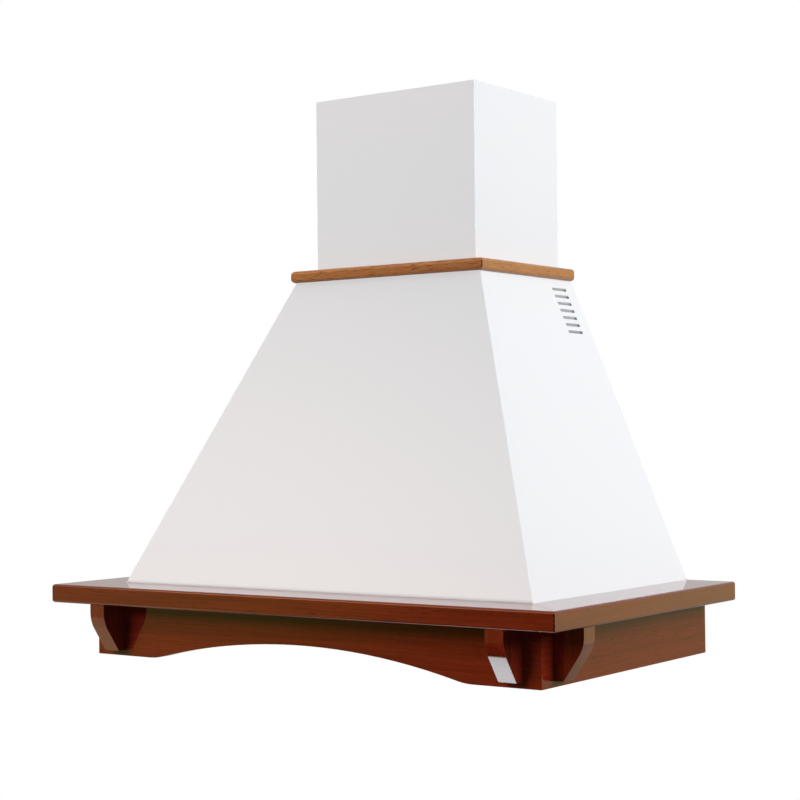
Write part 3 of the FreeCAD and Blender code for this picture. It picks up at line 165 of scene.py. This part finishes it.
def makeLowCards():
    for name, card in lowCards.items():
        left, right = card["across"]
        front, rear = card["front"], card["rear"]
        corners = [(left, front), (right, front), (right, rear), (left, rear)]
        shape = bmesh.new()
        shape.faces.new([shape.verts.new((x, y, cardRise)) for x, y in corners])
        cardMesh = bpy.data.meshes.new(name)
        shape.to_mesh(cardMesh)
        shape.free()
        piece = bpy.data.objects.new(name, cardMesh)
        bpy.context.scene.collection.objects.link(piece)
        piece.visible_camera = False
        piece.visible_diffuse = False
        piece.visible_shadow = False
        piece.visible_transmission = False
        material = bpy.data.materials.new(name + "Glow")
        material.use_nodes = True
        tree = material.node_tree
        tree.nodes.clear()
        place = addNode(tree, "ShaderNodeTexCoord")
        parts = addNode(tree, "ShaderNodeSeparateXYZ", {0: place.outputs["Object"]})
        aside = addNode(tree, "ShaderNodeMapRange", {
            "Value": parts.outputs["X"], "From Min": left, "From Max": right})
        colour = addNode(tree, "ShaderNodeValToRGB", {0: aside.outputs[0]}, card["colours"])
        strength = addNode(tree, "ShaderNodeMapRange", {
            "Value": parts.outputs["Y"], "From Min": card["fade"][0], "From Max": card["fade"][1],
            "To Min": card["dim"], "To Max": card["bright"]}, interpolation_type="SMOOTHSTEP")
        glow = addNode(tree, "ShaderNodeEmission", {
            "Color": colour.outputs[0], "Strength": strength.outputs[0]})
        addNode(tree, "ShaderNodeOutputMaterial", {"Surface": glow.outputs[0]})
        cardMesh.materials.append(material)


def bearingColours(tree, parts):
    bearing = addNode(tree, "ShaderNodeMath", {
        0: parts.outputs["X"], 1: parts.outputs["Y"]}, operation="ARCTAN2")
    turn = addNode(tree, "ShaderNodeMapRange", {
        "Value": bearing.outputs[0], "From Min": -math.pi, "From Max": math.pi})
    return addNode(tree, "ShaderNodeValToRGB", {0: turn.outputs[0]},
                   [((degrees + 180) / 360, colour) for degrees, colour in surroundings])


def makeWorld():
    world = bpy.data.worlds.new("studioWorld")
    bpy.context.scene.world = world
    world.use_nodes = True
    tree = world.node_tree
    tree.nodes.clear()
    path = addNode(tree, "ShaderNodeLightPath")
    way = addNode(tree, "ShaderNodeTexCoord")
    parts = addNode(tree, "ShaderNodeSeparateXYZ", {0: way.outputs["Generated"]})
    mirrored = bearingColours(tree, parts)
    fill = addNode(tree, "ShaderNodeBackground", {
        "Color": linearColour("#ffffff"), "Strength": studio["fill"]})
    gloss = addNode(tree, "ShaderNodeBackground", {"Color": mirrored.outputs[0], "Strength": 1.0})
    white = addNode(tree, "ShaderNodeBackground", {"Color": linearColour("#ffffff"), "Strength": 1.0})
    shiny = addNode(tree, "ShaderNodeMath", {
        0: path.outputs["Is Glossy Ray"], 1: path.outputs["Is Transmission Ray"]}, operation="MAXIMUM")
    lit = addNode(tree, "ShaderNodeMixShader", {
        0: shiny.outputs[0], 1: fill.outputs[0], 2: gloss.outputs[0]})
    seen = addNode(tree, "ShaderNodeMixShader", {
        0: path.outputs["Is Camera Ray"], 1: lit.outputs[0], 2: white.outputs[0]})
    addNode(tree, "ShaderNodeOutputWorld", {"Surface": seen.outputs[0]})


def makeLights():
    steel = bpy.data.collections.new("paintedSteel")
    mantel = bpy.data.collections.new("allButPaintedSteel")
    for name in ("canopy_shell", "chimney_cover", "chimney_extension"):
        steel.objects.link(cadNodes[name])
        mantel.objects.link(cadNodes[name])
    for member in mantel.collection_objects:
        member.light_linking.link_state = "EXCLUDE"
    for name, box in softBoxes.items():
        data = bpy.data.lights.new(name, "AREA")
        data.shape = "RECTANGLE"
        data.size, data.size_y = box["size"]
        data.energy = box["watts"]
        data.color = linearColour(box["colour"])[:3]
        light = bpy.data.objects.new(name, data)
        bpy.context.scene.collection.objects.link(light)
        light.location = box["place"]
        aim = Vector(box["aim"]) - Vector(box["place"])
        light.rotation_euler = aim.to_track_quat("-Z", "Y").to_euler()
        light.visible_camera = False
        light.visible_glossy = box["lights"] == "gloss"
        light.visible_diffuse = box["lights"] != "gloss"
        if box["lights"] == "steel":
            light.light_linking.receiver_collection = steel
        if box["lights"] == "mantel":
            light.light_linking.receiver_collection = mantel


def makeFloor():
    floorMesh = bpy.data.meshes.new("floor")
    shape = bmesh.new()
    bmesh.ops.create_circle(shape, cap_ends=True, segments=96, radius=studio["floorRadius"])
    bmesh.ops.translate(shape, verts=shape.verts, vec=(0, 0, -studio["floorDrop"]))
    shape.to_mesh(floorMesh)
    shape.free()
    floor = bpy.data.objects.new("floor", floorMesh)
    bpy.context.scene.collection.objects.link(floor)
    material = bpy.data.materials.new("paleFloor")
    material.use_nodes = True
    tree = material.node_tree
    tree.nodes.clear()
    path = addNode(tree, "ShaderNodeLightPath")
    place = addNode(tree, "ShaderNodeTexCoord")
    geometry = addNode(tree, "ShaderNodeNewGeometry")
    parts = addNode(tree, "ShaderNodeSeparateXYZ", {0: place.outputs["Object"]})
    mirrored = bearingColours(tree, parts)
    flat = addNode(tree, "ShaderNodeCombineXYZ", {"X": parts.outputs["X"], "Y": parts.outputs["Y"]})
    radius = addNode(tree, "ShaderNodeVectorMath", {0: flat.outputs[0]}, operation="LENGTH")
    paleness = addNode(tree, "ShaderNodeMix", {
        0: path.outputs["Is Camera Ray"], 6: linearColour(studio["floorGrey"]),
        7: linearColour(studio["floorPale"])}, data_type="RGBA")
    paint = addNode(tree, "ShaderNodeBsdfDiffuse", {"Color": paleness.outputs[2]})
    white = addNode(tree, "ShaderNodeEmission", {"Strength": 1.0})
    whiteFrom, whiteTo = studio["floorWhite"]
    fade = addNode(tree, "ShaderNodeMapRange", {
        "Value": radius.outputs["Value"], "From Min": whiteFrom * studio["floorRadius"],
        "From Max": whiteTo * studio["floorRadius"]}, interpolation_type="SMOOTHSTEP")
    rim = addNode(tree, "ShaderNodeMath", {
        0: fade.outputs[0], 1: path.outputs["Is Camera Ray"]}, operation="MULTIPLY")
    seen = addNode(tree, "ShaderNodeMixShader", {
        0: rim.outputs[0], 1: paint.outputs[0], 2: white.outputs[0]})
    sheen = addNode(tree, "ShaderNodeMapRange", {
        "Value": radius.outputs["Value"],
        "From Min": studio["sheenRing"][0], "From Max": studio["sheenRing"][1],
        "To Min": studio["sheen"][0], "To Max": studio["sheen"][1]}, interpolation_type="SMOOTHSTEP")
    muted = addNode(tree, "ShaderNodeMix", {
        0: studio["sheenTintShare"], 6: mirrored.outputs[0], 7: linearColour(studio["sheenTint"])},
        data_type="RGBA")
    glow = addNode(tree, "ShaderNodeEmission", {"Color": muted.outputs[2], "Strength": sheen.outputs[0]})
    shiny = addNode(tree, "ShaderNodeMixShader", {
        0: path.outputs["Is Glossy Ray"], 1: seen.outputs[0], 2: glow.outputs[0]})
    clear = addNode(tree, "ShaderNodeBsdfTransparent")
    under = addNode(tree, "ShaderNodeMixShader", {
        0: geometry.outputs["Backfacing"], 1: shiny.outputs[0], 2: clear.outputs[0]})
    addNode(tree, "ShaderNodeOutputMaterial", {"Surface": under.outputs[0]})
    floorMesh.materials.append(material)


makeCamera()
makeWorld()
makeLights()
makeFloor()
makeLowCards()
bpy.context.scene.view_settings.view_transform = "Standard"
print("camera, world, lights and floor made")


# All three woods have their lengths in millimetres. Real pores are about 0.3 mm wide, and are drawn
# coarser so that they show.

# Walnut-stained hardwood under clear high-gloss lacquer: deep red-brown, fine long streaks and dark
# pores, with a wet-looking coat that mirrors whatever stands beside it.
darkLacquer = {
    "deep": "#541409", "body": "#6a1d0d", "warm": "#842f16",
    "bandLength": 600, "bandWidth": 22,
    "streakLength": 220, "streakWidth": 2.6,
    "poreLength": 24, "poreWidth": 1.2,
    "poreColour": "#2a0a04", "poreFrom": 0.60, "poreDark": 0.55, "streakShare": 0.42,
    "coatRoughness": 0.045, "bump": 0.03, "mitreOf": "shelf_front_rail",
}

# The moulding's lighter stain: honey brown with a satin lacquer, and open grain that took more stain.
honeyLacquer = {
    "deep": "#8a4f2e", "body": "#a06435", "warm": "#b57e49",
    "bandLength": 300, "bandWidth": 9,
    "streakLength": 120, "streakWidth": 1.5,
    "poreLength": 16, "poreWidth": 1.1,
    "poreColour": "#4f240d", "poreFrom": 0.56, "poreDark": 0.85, "streakShare": 0.4,
    "coatRoughness": 0.32, "bump": 0.05, "mitreOf": "neck_moulding_front",
}

# Planed softwood, with no finish: pale, with soft growth lines.
bareSoftwood = {
    "deep": "#b9925f", "body": "#cfab78", "warm": "#dabb8b",
    "bandLength": 500, "bandWidth": 14,
    "streakLength": 200, "streakWidth": 2.4,
    "poreLength": 30, "poreWidth": 1.0,
    "poreColour": "#8a6238", "poreFrom": 0.62, "poreDark": 0.25, "streakShare": 0.5,
    "coatRoughness": 0.5, "bump": 0.1, "mitreOf": None,
}

grainTurns = {"X": (0, 0, 0), "Y": (0, 0, -math.pi / 2), "Z": (0, math.pi / 2, 0)}

# The noise levels, from 0 to 1, between which each feature comes in. Pores start at their wood's own level.
noiseLevels = {"band": (0.25, 0.6), "streak": (0.35, 0.7), "chip": (0.5, 0.72), "poreSpan": 0.1}

# The dark joint where two mitred ends meet: stained through, ragged, and with little lacquer. Millimetres.
mitre = {"line": 0.9, "ragged": 3.4, "chip": 2.6, "colour": "#1a0502", "coatShare": 0.15}

# Upward faces are given a little more reflection than the rest, a painted sheen that brightens the tops.
# How far up a face looks, from 0 to 1.
topSheen = {"from": 0.6, "full": 0.95, "specular": 0.02}


def makeWood(name, wood, grain, coat):
    material, tree, shader = newMaterial(name, {
        "Roughness": 0.25 if coat else 0.6, "IOR": 1.5, "Specular IOR Level": 0.0 if coat else 0.3,
        "Coat Weight": coat, "Coat Roughness": wood["coatRoughness"], "Coat IOR": 1.6})
    place = addNode(tree, "ShaderNodeTexCoord")
    along = addNode(tree, "ShaderNodeMapping", {
        "Vector": place.outputs["Object"], "Rotation": grainTurns[grain]})

    def stretched(length, width, detail, distortion):
        scale = (1 / (wood[length] * mm), 1 / (wood[width] * mm), 1 / (wood[width] * mm))
        squeezed = addNode(tree, "ShaderNodeMapping", {"Vector": along.outputs[0], "Scale": scale})
        return addNode(tree, "ShaderNodeTexNoise", {
            "Vector": squeezed.outputs[0], "Scale": 1.0, "Detail": detail, "Roughness": 0.55,
            "Distortion": distortion})

    bands = stretched("bandLength", "bandWidth", detail=3, distortion=0.6)
    streaks = stretched("streakLength", "streakWidth", detail=3, distortion=0.3)
    pores = stretched("poreLength", "poreWidth", detail=1, distortion=0.0)
    bandShare = addNode(tree, "ShaderNodeMapRange", {
        "Value": bands.outputs["Fac"],
        "From Min": noiseLevels["band"][0], "From Max": noiseLevels["band"][1]})
    streakShare = addNode(tree, "ShaderNodeMapRange", {
        "Value": streaks.outputs["Fac"],
        "From Min": noiseLevels["streak"][0], "From Max": noiseLevels["streak"][1],
        "To Max": wood["streakShare"]})
    poreShare = addNode(tree, "ShaderNodeMapRange", {
        "Value": pores.outputs["Fac"],
        "From Min": wood["poreFrom"], "From Max": wood["poreFrom"] + noiseLevels["poreSpan"],
        "To Max": wood["poreDark"]})
    toned = addNode(tree, "ShaderNodeMix", {
        0: bandShare.outputs[0], 6: linearColour(wood["deep"]), 7: linearColour(wood["body"])},
        data_type="RGBA")
    streaked = addNode(tree, "ShaderNodeMix", {
        0: streakShare.outputs[0], 6: toned.outputs[2], 7: linearColour(wood["warm"])}, data_type="RGBA")
    pored = addNode(tree, "ShaderNodeMix", {
        0: poreShare.outputs[0], 6: streaked.outputs[2], 7: linearColour(wood["poreColour"])},
        data_type="RGBA")
    finished = pored
    if wood["mitreOf"]:
        low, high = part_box(wood["mitreOf"])
        parts = addNode(tree, "ShaderNodeSeparateXYZ", {0: place.outputs["Object"]})
        aside = addNode(tree, "ShaderNodeMath", {0: parts.outputs["X"]}, operation="ABSOLUTE")
        diagonal = addNode(tree, "ShaderNodeMath", {
            0: aside.outputs[0], 1: parts.outputs["Y"]}, operation="SUBTRACT")
        chips = addNode(tree, "ShaderNodeTexNoise", {
            "Vector": place.outputs["Object"], "Scale": 1 / (mitre["chip"] * mm), "Detail": 2.0})
        width = addNode(tree, "ShaderNodeMapRange", {
            "Value": chips.outputs["Fac"],
            "From Min": noiseLevels["chip"][0], "From Max": noiseLevels["chip"][1],
            "To Min": mitre["line"] * mm, "To Max": mitre["ragged"] * mm})
        glue = addNode(tree, "ShaderNodeMath", {
            0: diagonal.outputs[0], 1: high.x - low.y, 2: width.outputs[0]}, operation="COMPARE")
        finished = addNode(tree, "ShaderNodeMix", {
            0: glue.outputs[0], 6: pored.outputs[2], 7: linearColour(mitre["colour"])}, data_type="RGBA")
        sealed = addNode(tree, "ShaderNodeMapRange", {
            "Value": glue.outputs[0], "To Min": coat, "To Max": mitre["coatShare"] * coat})
        tree.links.new(sealed.outputs[0], shader.inputs["Coat Weight"])
    # painted sheen: upward faces reflect a little more
    if coat:
        geometry = addNode(tree, "ShaderNodeNewGeometry")
        facing = addNode(tree, "ShaderNodeSeparateXYZ", {0: geometry.outputs["Normal"]})
        paintedTopSheen = addNode(tree, "ShaderNodeMapRange", {
            "Value": facing.outputs["Z"], "From Min": topSheen["from"], "From Max": topSheen["full"],
            "To Max": topSheen["specular"]})
        tree.links.new(paintedTopSheen.outputs[0], shader.inputs["Specular IOR Level"])
    tree.links.new(finished.outputs[2], shader.inputs["Base Color"])
    relief = addNode(tree, "ShaderNodeBump", {
        "Strength": wood["bump"], "Distance": 0.3 * mm, "Height": streaks.outputs["Fac"]})
    tree.links.new(relief.outputs[0], shader.inputs["Normal"])
    return material


# The apron's coat is made weaker than the shelf's, and weakest on its sides, so it mirrors less: painted
# shade standing in for the shelf's shadow over its reflections.
darkAlongX = makeWood("walnutLacquerAcross", darkLacquer, "X", 1.0)
darkAlongY = makeWood("walnutLacquerDeep", darkLacquer, "Y", 1.0)
darkAlongZ = makeWood("walnutLacquerUpright", darkLacquer, "Z", 1.0)
apronShadedGlossAlongX = makeWood("walnutShadedGlossAcross", darkLacquer, "X", 0.75)
apronShadedGlossAlongY = makeWood("walnutShadedGlossDeep", darkLacquer, "Y", 0.52)
honeyAlongX = makeWood("honeyLacquerAcross", honeyLacquer, "X", 0.8)
honeyPaintedSheenAlongY = makeWood("honeyLacquerDeep", {     # the side pieces are painted lighter, with fainter pores: a painted sheen
    **honeyLacquer, "deep": "#955a36", "body": "#ac703d", "warm": "#c08a54", "poreDark": 0.45}, "Y", 0.8)
softwoodAlongX = makeWood("planedSoftwoodAcross", bareSoftwood, "X", 0.0)
softwoodAlongZ = makeWood("planedSoftwoodUpright", bareSoftwood, "Z", 0.0)
print("wood finishes made")


# Powder coat on steel sheet: warm white, satin, with a faint orange peel.
powderCoat = {"colour": "#e7e5e5", "roughness": 0.36, "peel": 1.6, "peelDepth": 0.035}


def makePowderCoat():
    material, tree, shader = newMaterial("whitePowderCoat", {
        "Base Color": linearColour(powderCoat["colour"]), "Roughness": powderCoat["roughness"], "IOR": 1.5})
    place = addNode(tree, "ShaderNodeTexCoord")
    peel = addNode(tree, "ShaderNodeTexNoise", {
        "Vector": place.outputs["Object"], "Scale": 1 / (powderCoat["peel"] * mm), "Detail": 1.0})
    relief = addNode(tree, "ShaderNodeBump", {
        "Strength": powderCoat["peelDepth"], "Distance": 0.2 * mm, "Height": peel.outputs["Fac"]})
    tree.links.new(relief.outputs[0], shader.inputs["Normal"])
    return material


# Bare and coated metals. Each varies in colour and roughness over grains of a size in millimetres. Only
# the zinc's crystals are really so large. The other grains are drawn coarser so that they show.
metals = {
    # hot-dipped zinc: dull, with the flat crystals of the bath
    "galvanisedSteel": {"colour": "#acacb5", "spread": "#9b9ca5", "rough": (0.36, 0.46), "grain": 7.0},
    # sprayed silver: an even grey with fine metal flake
    "silverPaintedSteel": {"colour": "#b9babb", "spread": "#b2b3b5", "rough": (0.34, 0.42), "grain": 1.2},
    # etched and anodised: a soft, even satin
    "anodisedAluminium": {"colour": "#c9cacb", "spread": "#b9babc", "rough": (0.28, 0.4), "grain": 2.0},
    # spun or drawn: brighter, with a fine drawn grain
    "spunAluminium": {"colour": "#c4c5c7", "spread": "#aeb0b3", "rough": (0.22, 0.34), "grain": 1.0},
    # as cast: dark, dull and grainy
    "castAluminium": {"colour": "#8f9193", "spread": "#7d7f81", "rough": (0.5, 0.65), "grain": 1.4},
    # plated and passivated: bright, with a yellowish cast
    "zincPlatedSteel": {"colour": "#c2c1ba", "spread": "#aeb0a8", "rough": (0.25, 0.4), "grain": 3.0},
    # polished chrome: close to a mirror
    "chromePlate": {"colour": "#dfe1e4", "spread": "#d9dbdf", "rough": (0.06, 0.1), "grain": 6.0},
}


def makeMetal(name, finish):
    material, tree, shader = newMaterial(name, {"Metallic": 1.0})
    place = addNode(tree, "ShaderNodeTexCoord")
    cells = addNode(tree, "ShaderNodeTexVoronoi", {
        "Vector": place.outputs["Object"], "Scale": 1 / (finish["grain"] * mm)})
    tone = addNode(tree, "ShaderNodeMix", {
        0: cells.outputs["Color"], 6: linearColour(finish["colour"]), 7: linearColour(finish["spread"])},
        data_type="RGBA")
    rough = addNode(tree, "ShaderNodeMapRange", {
        "Value": cells.outputs["Color"], "To Min": finish["rough"][0], "To Max": finish["rough"][1]})
    tree.links.new(tone.outputs[2], shader.inputs["Base Color"])
    tree.links.new(rough.outputs[0], shader.inputs["Roughness"])
    return material


# Moulded plastics: the mould's spark-eroded grain dulls all but the polished buttons. The real grain is
# about 0.1 mm, and is drawn coarser so that it shows.
plastics = {
    "greyMouldedAbs": {"colour": "#7f8183", "roughness": 0.42, "grain": 0.8, "depth": 0.12},
    "whiteGlossAbs": {"colour": "#e9e8e3", "roughness": 0.16, "grain": 3.0, "depth": 0.02},
    "blackPolypropylene": {"colour": "#26272a", "roughness": 0.5, "grain": 0.9, "depth": 0.15},
}


def makePlastic(name, finish):
    material, tree, shader = newMaterial(name, {
        "Base Color": linearColour(finish["colour"]), "Roughness": finish["roughness"], "IOR": 1.53})
    place = addNode(tree, "ShaderNodeTexCoord")
    grain = addNode(tree, "ShaderNodeTexNoise", {
        "Vector": place.outputs["Object"], "Scale": 1 / (finish["grain"] * mm), "Detail": 2.0})
    relief = addNode(tree, "ShaderNodeBump", {
        "Strength": finish["depth"], "Distance": 0.15 * mm, "Height": grain.outputs["Fac"]})
    tree.links.new(relief.outputs[0], shader.inputs["Normal"])
    return material


# Sandblasted glass: light passes but the lamp behind is only a soft shape. Its grain is drawn coarser
# than the real one, in millimetres.
frostedGlass = {"colour": "#f2f5f4", "roughness": 0.45, "clear": 0.4, "grain": 0.5, "depth": 0.2}


def makeFrostedGlass():
    material, tree, shader = newMaterial("frostedGlass", {
        "Base Color": linearColour(frostedGlass["colour"]), "Roughness": frostedGlass["roughness"],
        "IOR": 1.5, "Transmission Weight": frostedGlass["clear"]})
    place = addNode(tree, "ShaderNodeTexCoord")
    grain = addNode(tree, "ShaderNodeTexNoise", {
        "Vector": place.outputs["Object"], "Scale": 1 / (frostedGlass["grain"] * mm), "Detail": 2.0})
    relief = addNode(tree, "ShaderNodeBump", {
        "Strength": frostedGlass["depth"], "Distance": 0.1 * mm, "Height": grain.outputs["Fac"]})
    tree.links.new(relief.outputs[0], shader.inputs["Normal"])
    return material


powder = makePowderCoat()
metal = {name: makeMetal(name, finish) for name, finish in metals.items()}
plastic = {name: makePlastic(name, finish) for name, finish in plastics.items()}
glass = makeFrostedGlass()
print("metal, plastic and glass finishes made")


# Each board is the CAD board with its sharp edges eased, as sanding leaves them. Widths in millimetres.
boards = {
    "shelf_front_rail": {"ease": 0.45, "material": darkAlongX, "slot": "dark_lacquered_wood"},
    "shelf_left_rail": {"ease": 0.45, "material": darkAlongY, "slot": "dark_lacquered_wood"},
    "shelf_right_rail": {"ease": 0.45, "material": darkAlongY, "slot": "dark_lacquered_wood"},
    "apron_front": {"ease": 0.5, "material": apronShadedGlossAlongX, "slot": "dark_lacquered_wood"},
    "apron_left": {"ease": 0.5, "material": apronShadedGlossAlongY, "slot": "dark_lacquered_wood"},
    "apron_right": {"ease": 0.5, "material": apronShadedGlossAlongY, "slot": "dark_lacquered_wood"},
    "corbel_front_left": {"ease": 0.4, "material": darkAlongZ, "slot": "dark_lacquered_wood"},
    "corbel_front_right": {"ease": 0.4, "material": darkAlongZ, "slot": "dark_lacquered_wood"},
    "corbel_side_left": {"ease": 0.4, "material": darkAlongZ, "slot": "dark_lacquered_wood"},
    "corbel_side_right": {"ease": 0.4, "material": darkAlongZ, "slot": "dark_lacquered_wood"},
    "neck_moulding_front": {"ease": 0.35, "material": honeyAlongX, "slot": "honey_lacquered_wood"},
    "neck_moulding_left": {"ease": 0.35, "material": honeyPaintedSheenAlongY, "slot": "honey_lacquered_wood"},
    "neck_moulding_right": {"ease": 0.35, "material": honeyPaintedSheenAlongY, "slot": "honey_lacquered_wood"},
}
sharpAngle = math.radians(40)     # flatter edges belong to a rounded nose
easeSteps = 2


def easedCopy(node, width):
    shape = bmesh.new()
    shape.from_mesh(cadNodes[node].data)
    bmesh.ops.remove_doubles(shape, verts=shape.verts, dist=0.01 * mm)
    bmesh.ops.dissolve_limit(shape, angle_limit=math.radians(0.5), verts=shape.verts, edges=shape.edges)
    sharp = [e for e in shape.edges if len(e.link_faces) == 2 and e.calc_face_angle() > sharpAngle]
    bmesh.ops.bevel(
        shape, geom=sharp, offset=width * mm, affect="EDGES", segments=easeSteps, profile=0.5,
        material=-1, clamp_overlap=True)
    return shape


def finishPiece(shape, name, material, body, replaced=()):
    mesh = bpy.data.meshes.new(name)
    shape.to_mesh(mesh)
    shape.free()
    mesh.shade_smooth()
    mesh.set_sharp_from_angle(angle=sharpAngle)
    mesh.materials.append(material)
    piece = bpy.data.objects.new(name, mesh)
    bpy.context.scene.collection.objects.link(piece)
    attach(piece, body)
    if replaced:
        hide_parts(*replaced)
    return piece


def evenShading(piece):
    modifier = piece.modifiers.new("evenShading", "WEIGHTED_NORMAL")
    modifier.keep_sharp = True


def camelName(node):
    first, *rest = node.split("_")
    return first + "".join(word.capitalize() for word in rest)


for node, board in boards.items():
    eased = easedCopy(node, board["ease"])
    name = camelName(node) + "Board"
    evenShading(finishPiece(eased, name, board["material"], "hood", [node]))
print("eased boards made")


# Each vent slot's metal is bent in from the slot's upper edge. Millimetres and degrees.
ventTongues = {
    "count": 7, "pitch": 11.3, "firstDrop": 17, "slotHeight": 4.6,
    "rear": -25, "front": -69.5,          # along Y
    "reach": 6.0, "sheet": 0.8, "bend": 42,
    "footWidth": 740, "neckWidth": 347, "footRise": 109, "neckRise": 576,     # the canopy's own sizes
}


def makeVentTongues(side, sign):
    vent = ventTongues
    lean = (vent["footWidth"] - vent["neckWidth"]) / 2 / (vent["neckRise"] - vent["footRise"])
    shape = bmesh.new()
    for i in range(vent["count"]):
        tongue = bmesh.ops.create_cube(shape, size=1.0)["verts"]
        bmesh.ops.scale(shape, verts=tongue, vec=(
            vent["sheet"], vent["rear"] - vent["front"], vent["reach"]))
        bmesh.ops.translate(shape, verts=tongue, vec=(0, 0, -vent["reach"] / 2))
        bmesh.ops.rotate(shape, verts=tongue, cent=(0, 0, 0),
                         matrix=Matrix.Rotation(math.radians(sign * vent["bend"]), 3, "Y"))
        height = vent["neckRise"] - vent["firstDrop"] - i * vent["pitch"] + vent["slotHeight"] / 2
        wall = vent["neckWidth"] / 2 + lean * (vent["neckRise"] - height)
        bmesh.ops.translate(shape, verts=tongue, vec=(
            sign * (wall - vent["sheet"]), (vent["rear"] + vent["front"]) / 2, height))
    bmesh.ops.scale(shape, verts=shape.verts, vec=(mm, mm, mm))
    finishPiece(shape, "ventTongues" + side, powder, "hood")


makeVentTongues("Left", -1)
makeVentTongues("Right", 1)
print("vent tongues made")


# Two crossed layers of expanded aluminium mesh fill each filter's frame. Millimetres and degrees.
filterMesh = {
    "longWay": 15, "shortWay": 7.5,        # one diamond; real ones are half as large
    "strand": 1.1, "cells": 60,
    "frameWidth": 254, "rim": 12.2,
    "layers": {"Outer": {"rise": 80.7, "turn": 0}, "Inner": {"rise": 82.2, "turn": 90}},
    "grip": 30, "gripReach": 58,           # left open round the latch, from the filter's middle and front
}


def makeFilterMesh(side, layer, rise, turn):
    low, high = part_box("grease_filter_" + side)
    middle = (low.x + high.x) / 2
    rim = filterMesh["rim"] * mm
    halfOpening = filterMesh["frameWidth"] / 2 * mm - rim
    cells = filterMesh["cells"]
    diamond = math.sqrt(2) * 2 / cells     # a unit grid's square, once it stands on its corner
    shape = bmesh.new()
    bmesh.ops.create_grid(shape, x_segments=cells, y_segments=cells, size=1.0)
    bmesh.ops.rotate(shape, verts=shape.verts, cent=(0, 0, 0),
                     matrix=Matrix.Rotation(math.radians(45), 3, "Z"))
    bmesh.ops.scale(shape, verts=shape.verts, vec=(
        filterMesh["longWay"] * mm / diamond, filterMesh["shortWay"] * mm / diamond, 1))
    bmesh.ops.rotate(shape, verts=shape.verts, cent=(0, 0, 0),
                     matrix=Matrix.Rotation(math.radians(turn), 3, "Z"))
    bmesh.ops.translate(shape, verts=shape.verts, vec=(middle, (low.y + high.y) / 2, rise * mm))
    borders = [((middle - halfOpening, 0, 0), (-1, 0, 0)), ((middle + halfOpening, 0, 0), (1, 0, 0)),
               ((0, low.y + rim, 0), (0, -1, 0)), ((0, high.y - rim, 0), (0, 1, 0))]
    for spot, outwards in borders:
        everything = list(shape.verts) + list(shape.edges) + list(shape.faces)
        bmesh.ops.bisect_plane(shape, geom=everything, dist=0.01 * mm, plane_co=spot, plane_no=outwards,
                               clear_outer=True)
    underGrip = [f for f in shape.faces
                 if abs(f.calc_center_median().x - middle) < filterMesh["grip"] * mm
                 and f.calc_center_median().y < low.y + filterMesh["gripReach"] * mm]
    bmesh.ops.delete(shape, geom=underGrip, context="FACES")
    bmesh.ops.wireframe(shape, faces=shape.faces, thickness=filterMesh["strand"] * mm, use_boundary=True,
                        use_even_offset=True, use_replace=True)
    finishPiece(shape, "filterMesh" + layer + side.capitalize(), metal["anodisedAluminium"],
                side + "_filter")


for side in ("left", "right"):
    for layer, values in filterMesh["layers"].items():
        makeFilterMesh(side, layer, values["rise"], values["turn"])
print("filter mesh made")


dress(powder, "canopy_shell", "chimney_cover", "chimney_extension")
dress(softwoodAlongX, "shelf_back_rail", "apron_back")
dress(softwoodAlongZ, "corner_blocks")
dress(metal["galvanisedSteel"], "rear_panel", "chimney_bracket", "blower_hanger_left",
      "blower_hanger_right", "motor_bracket", "inlet_ring_left", "inlet_ring_right", "filter_hooks")
dress(metal["silverPaintedSteel"], "base_panel")
dress(metal["anodisedAluminium"], "grease_filter_left", "grease_filter_right")
dress(metal["spunAluminium"], "lamp_body_left", "lamp_body_right", "capacitor")
dress(metal["castAluminium"], "motor")
dress(metal["zincPlatedSteel"], "motor_shaft", "damper_pin", "base_screws", "hanger_screws", "inlet_screws")
dress(metal["chromePlate"], "lamp_ring_left", "lamp_ring_right")
dress(plastic["greyMouldedAbs"], "filter_latch_left", "filter_latch_right", "control_fascia")
dress(plastic["whiteGlossAbs"], "button_off", "button_speed_low", "button_speed_middle",
      "button_speed_high", "button_light")
dress(plastic["blackPolypropylene"], "switch_box", "blower_housing_left", "blower_housing_right",
      "outlet_collar", "damper_flap_front", "damper_flap_rear", "terminal_box", "cable_gland", "impeller")
dress(glass, "lamp_lens_left", "lamp_lens_right")
print("carried-over pieces finished")
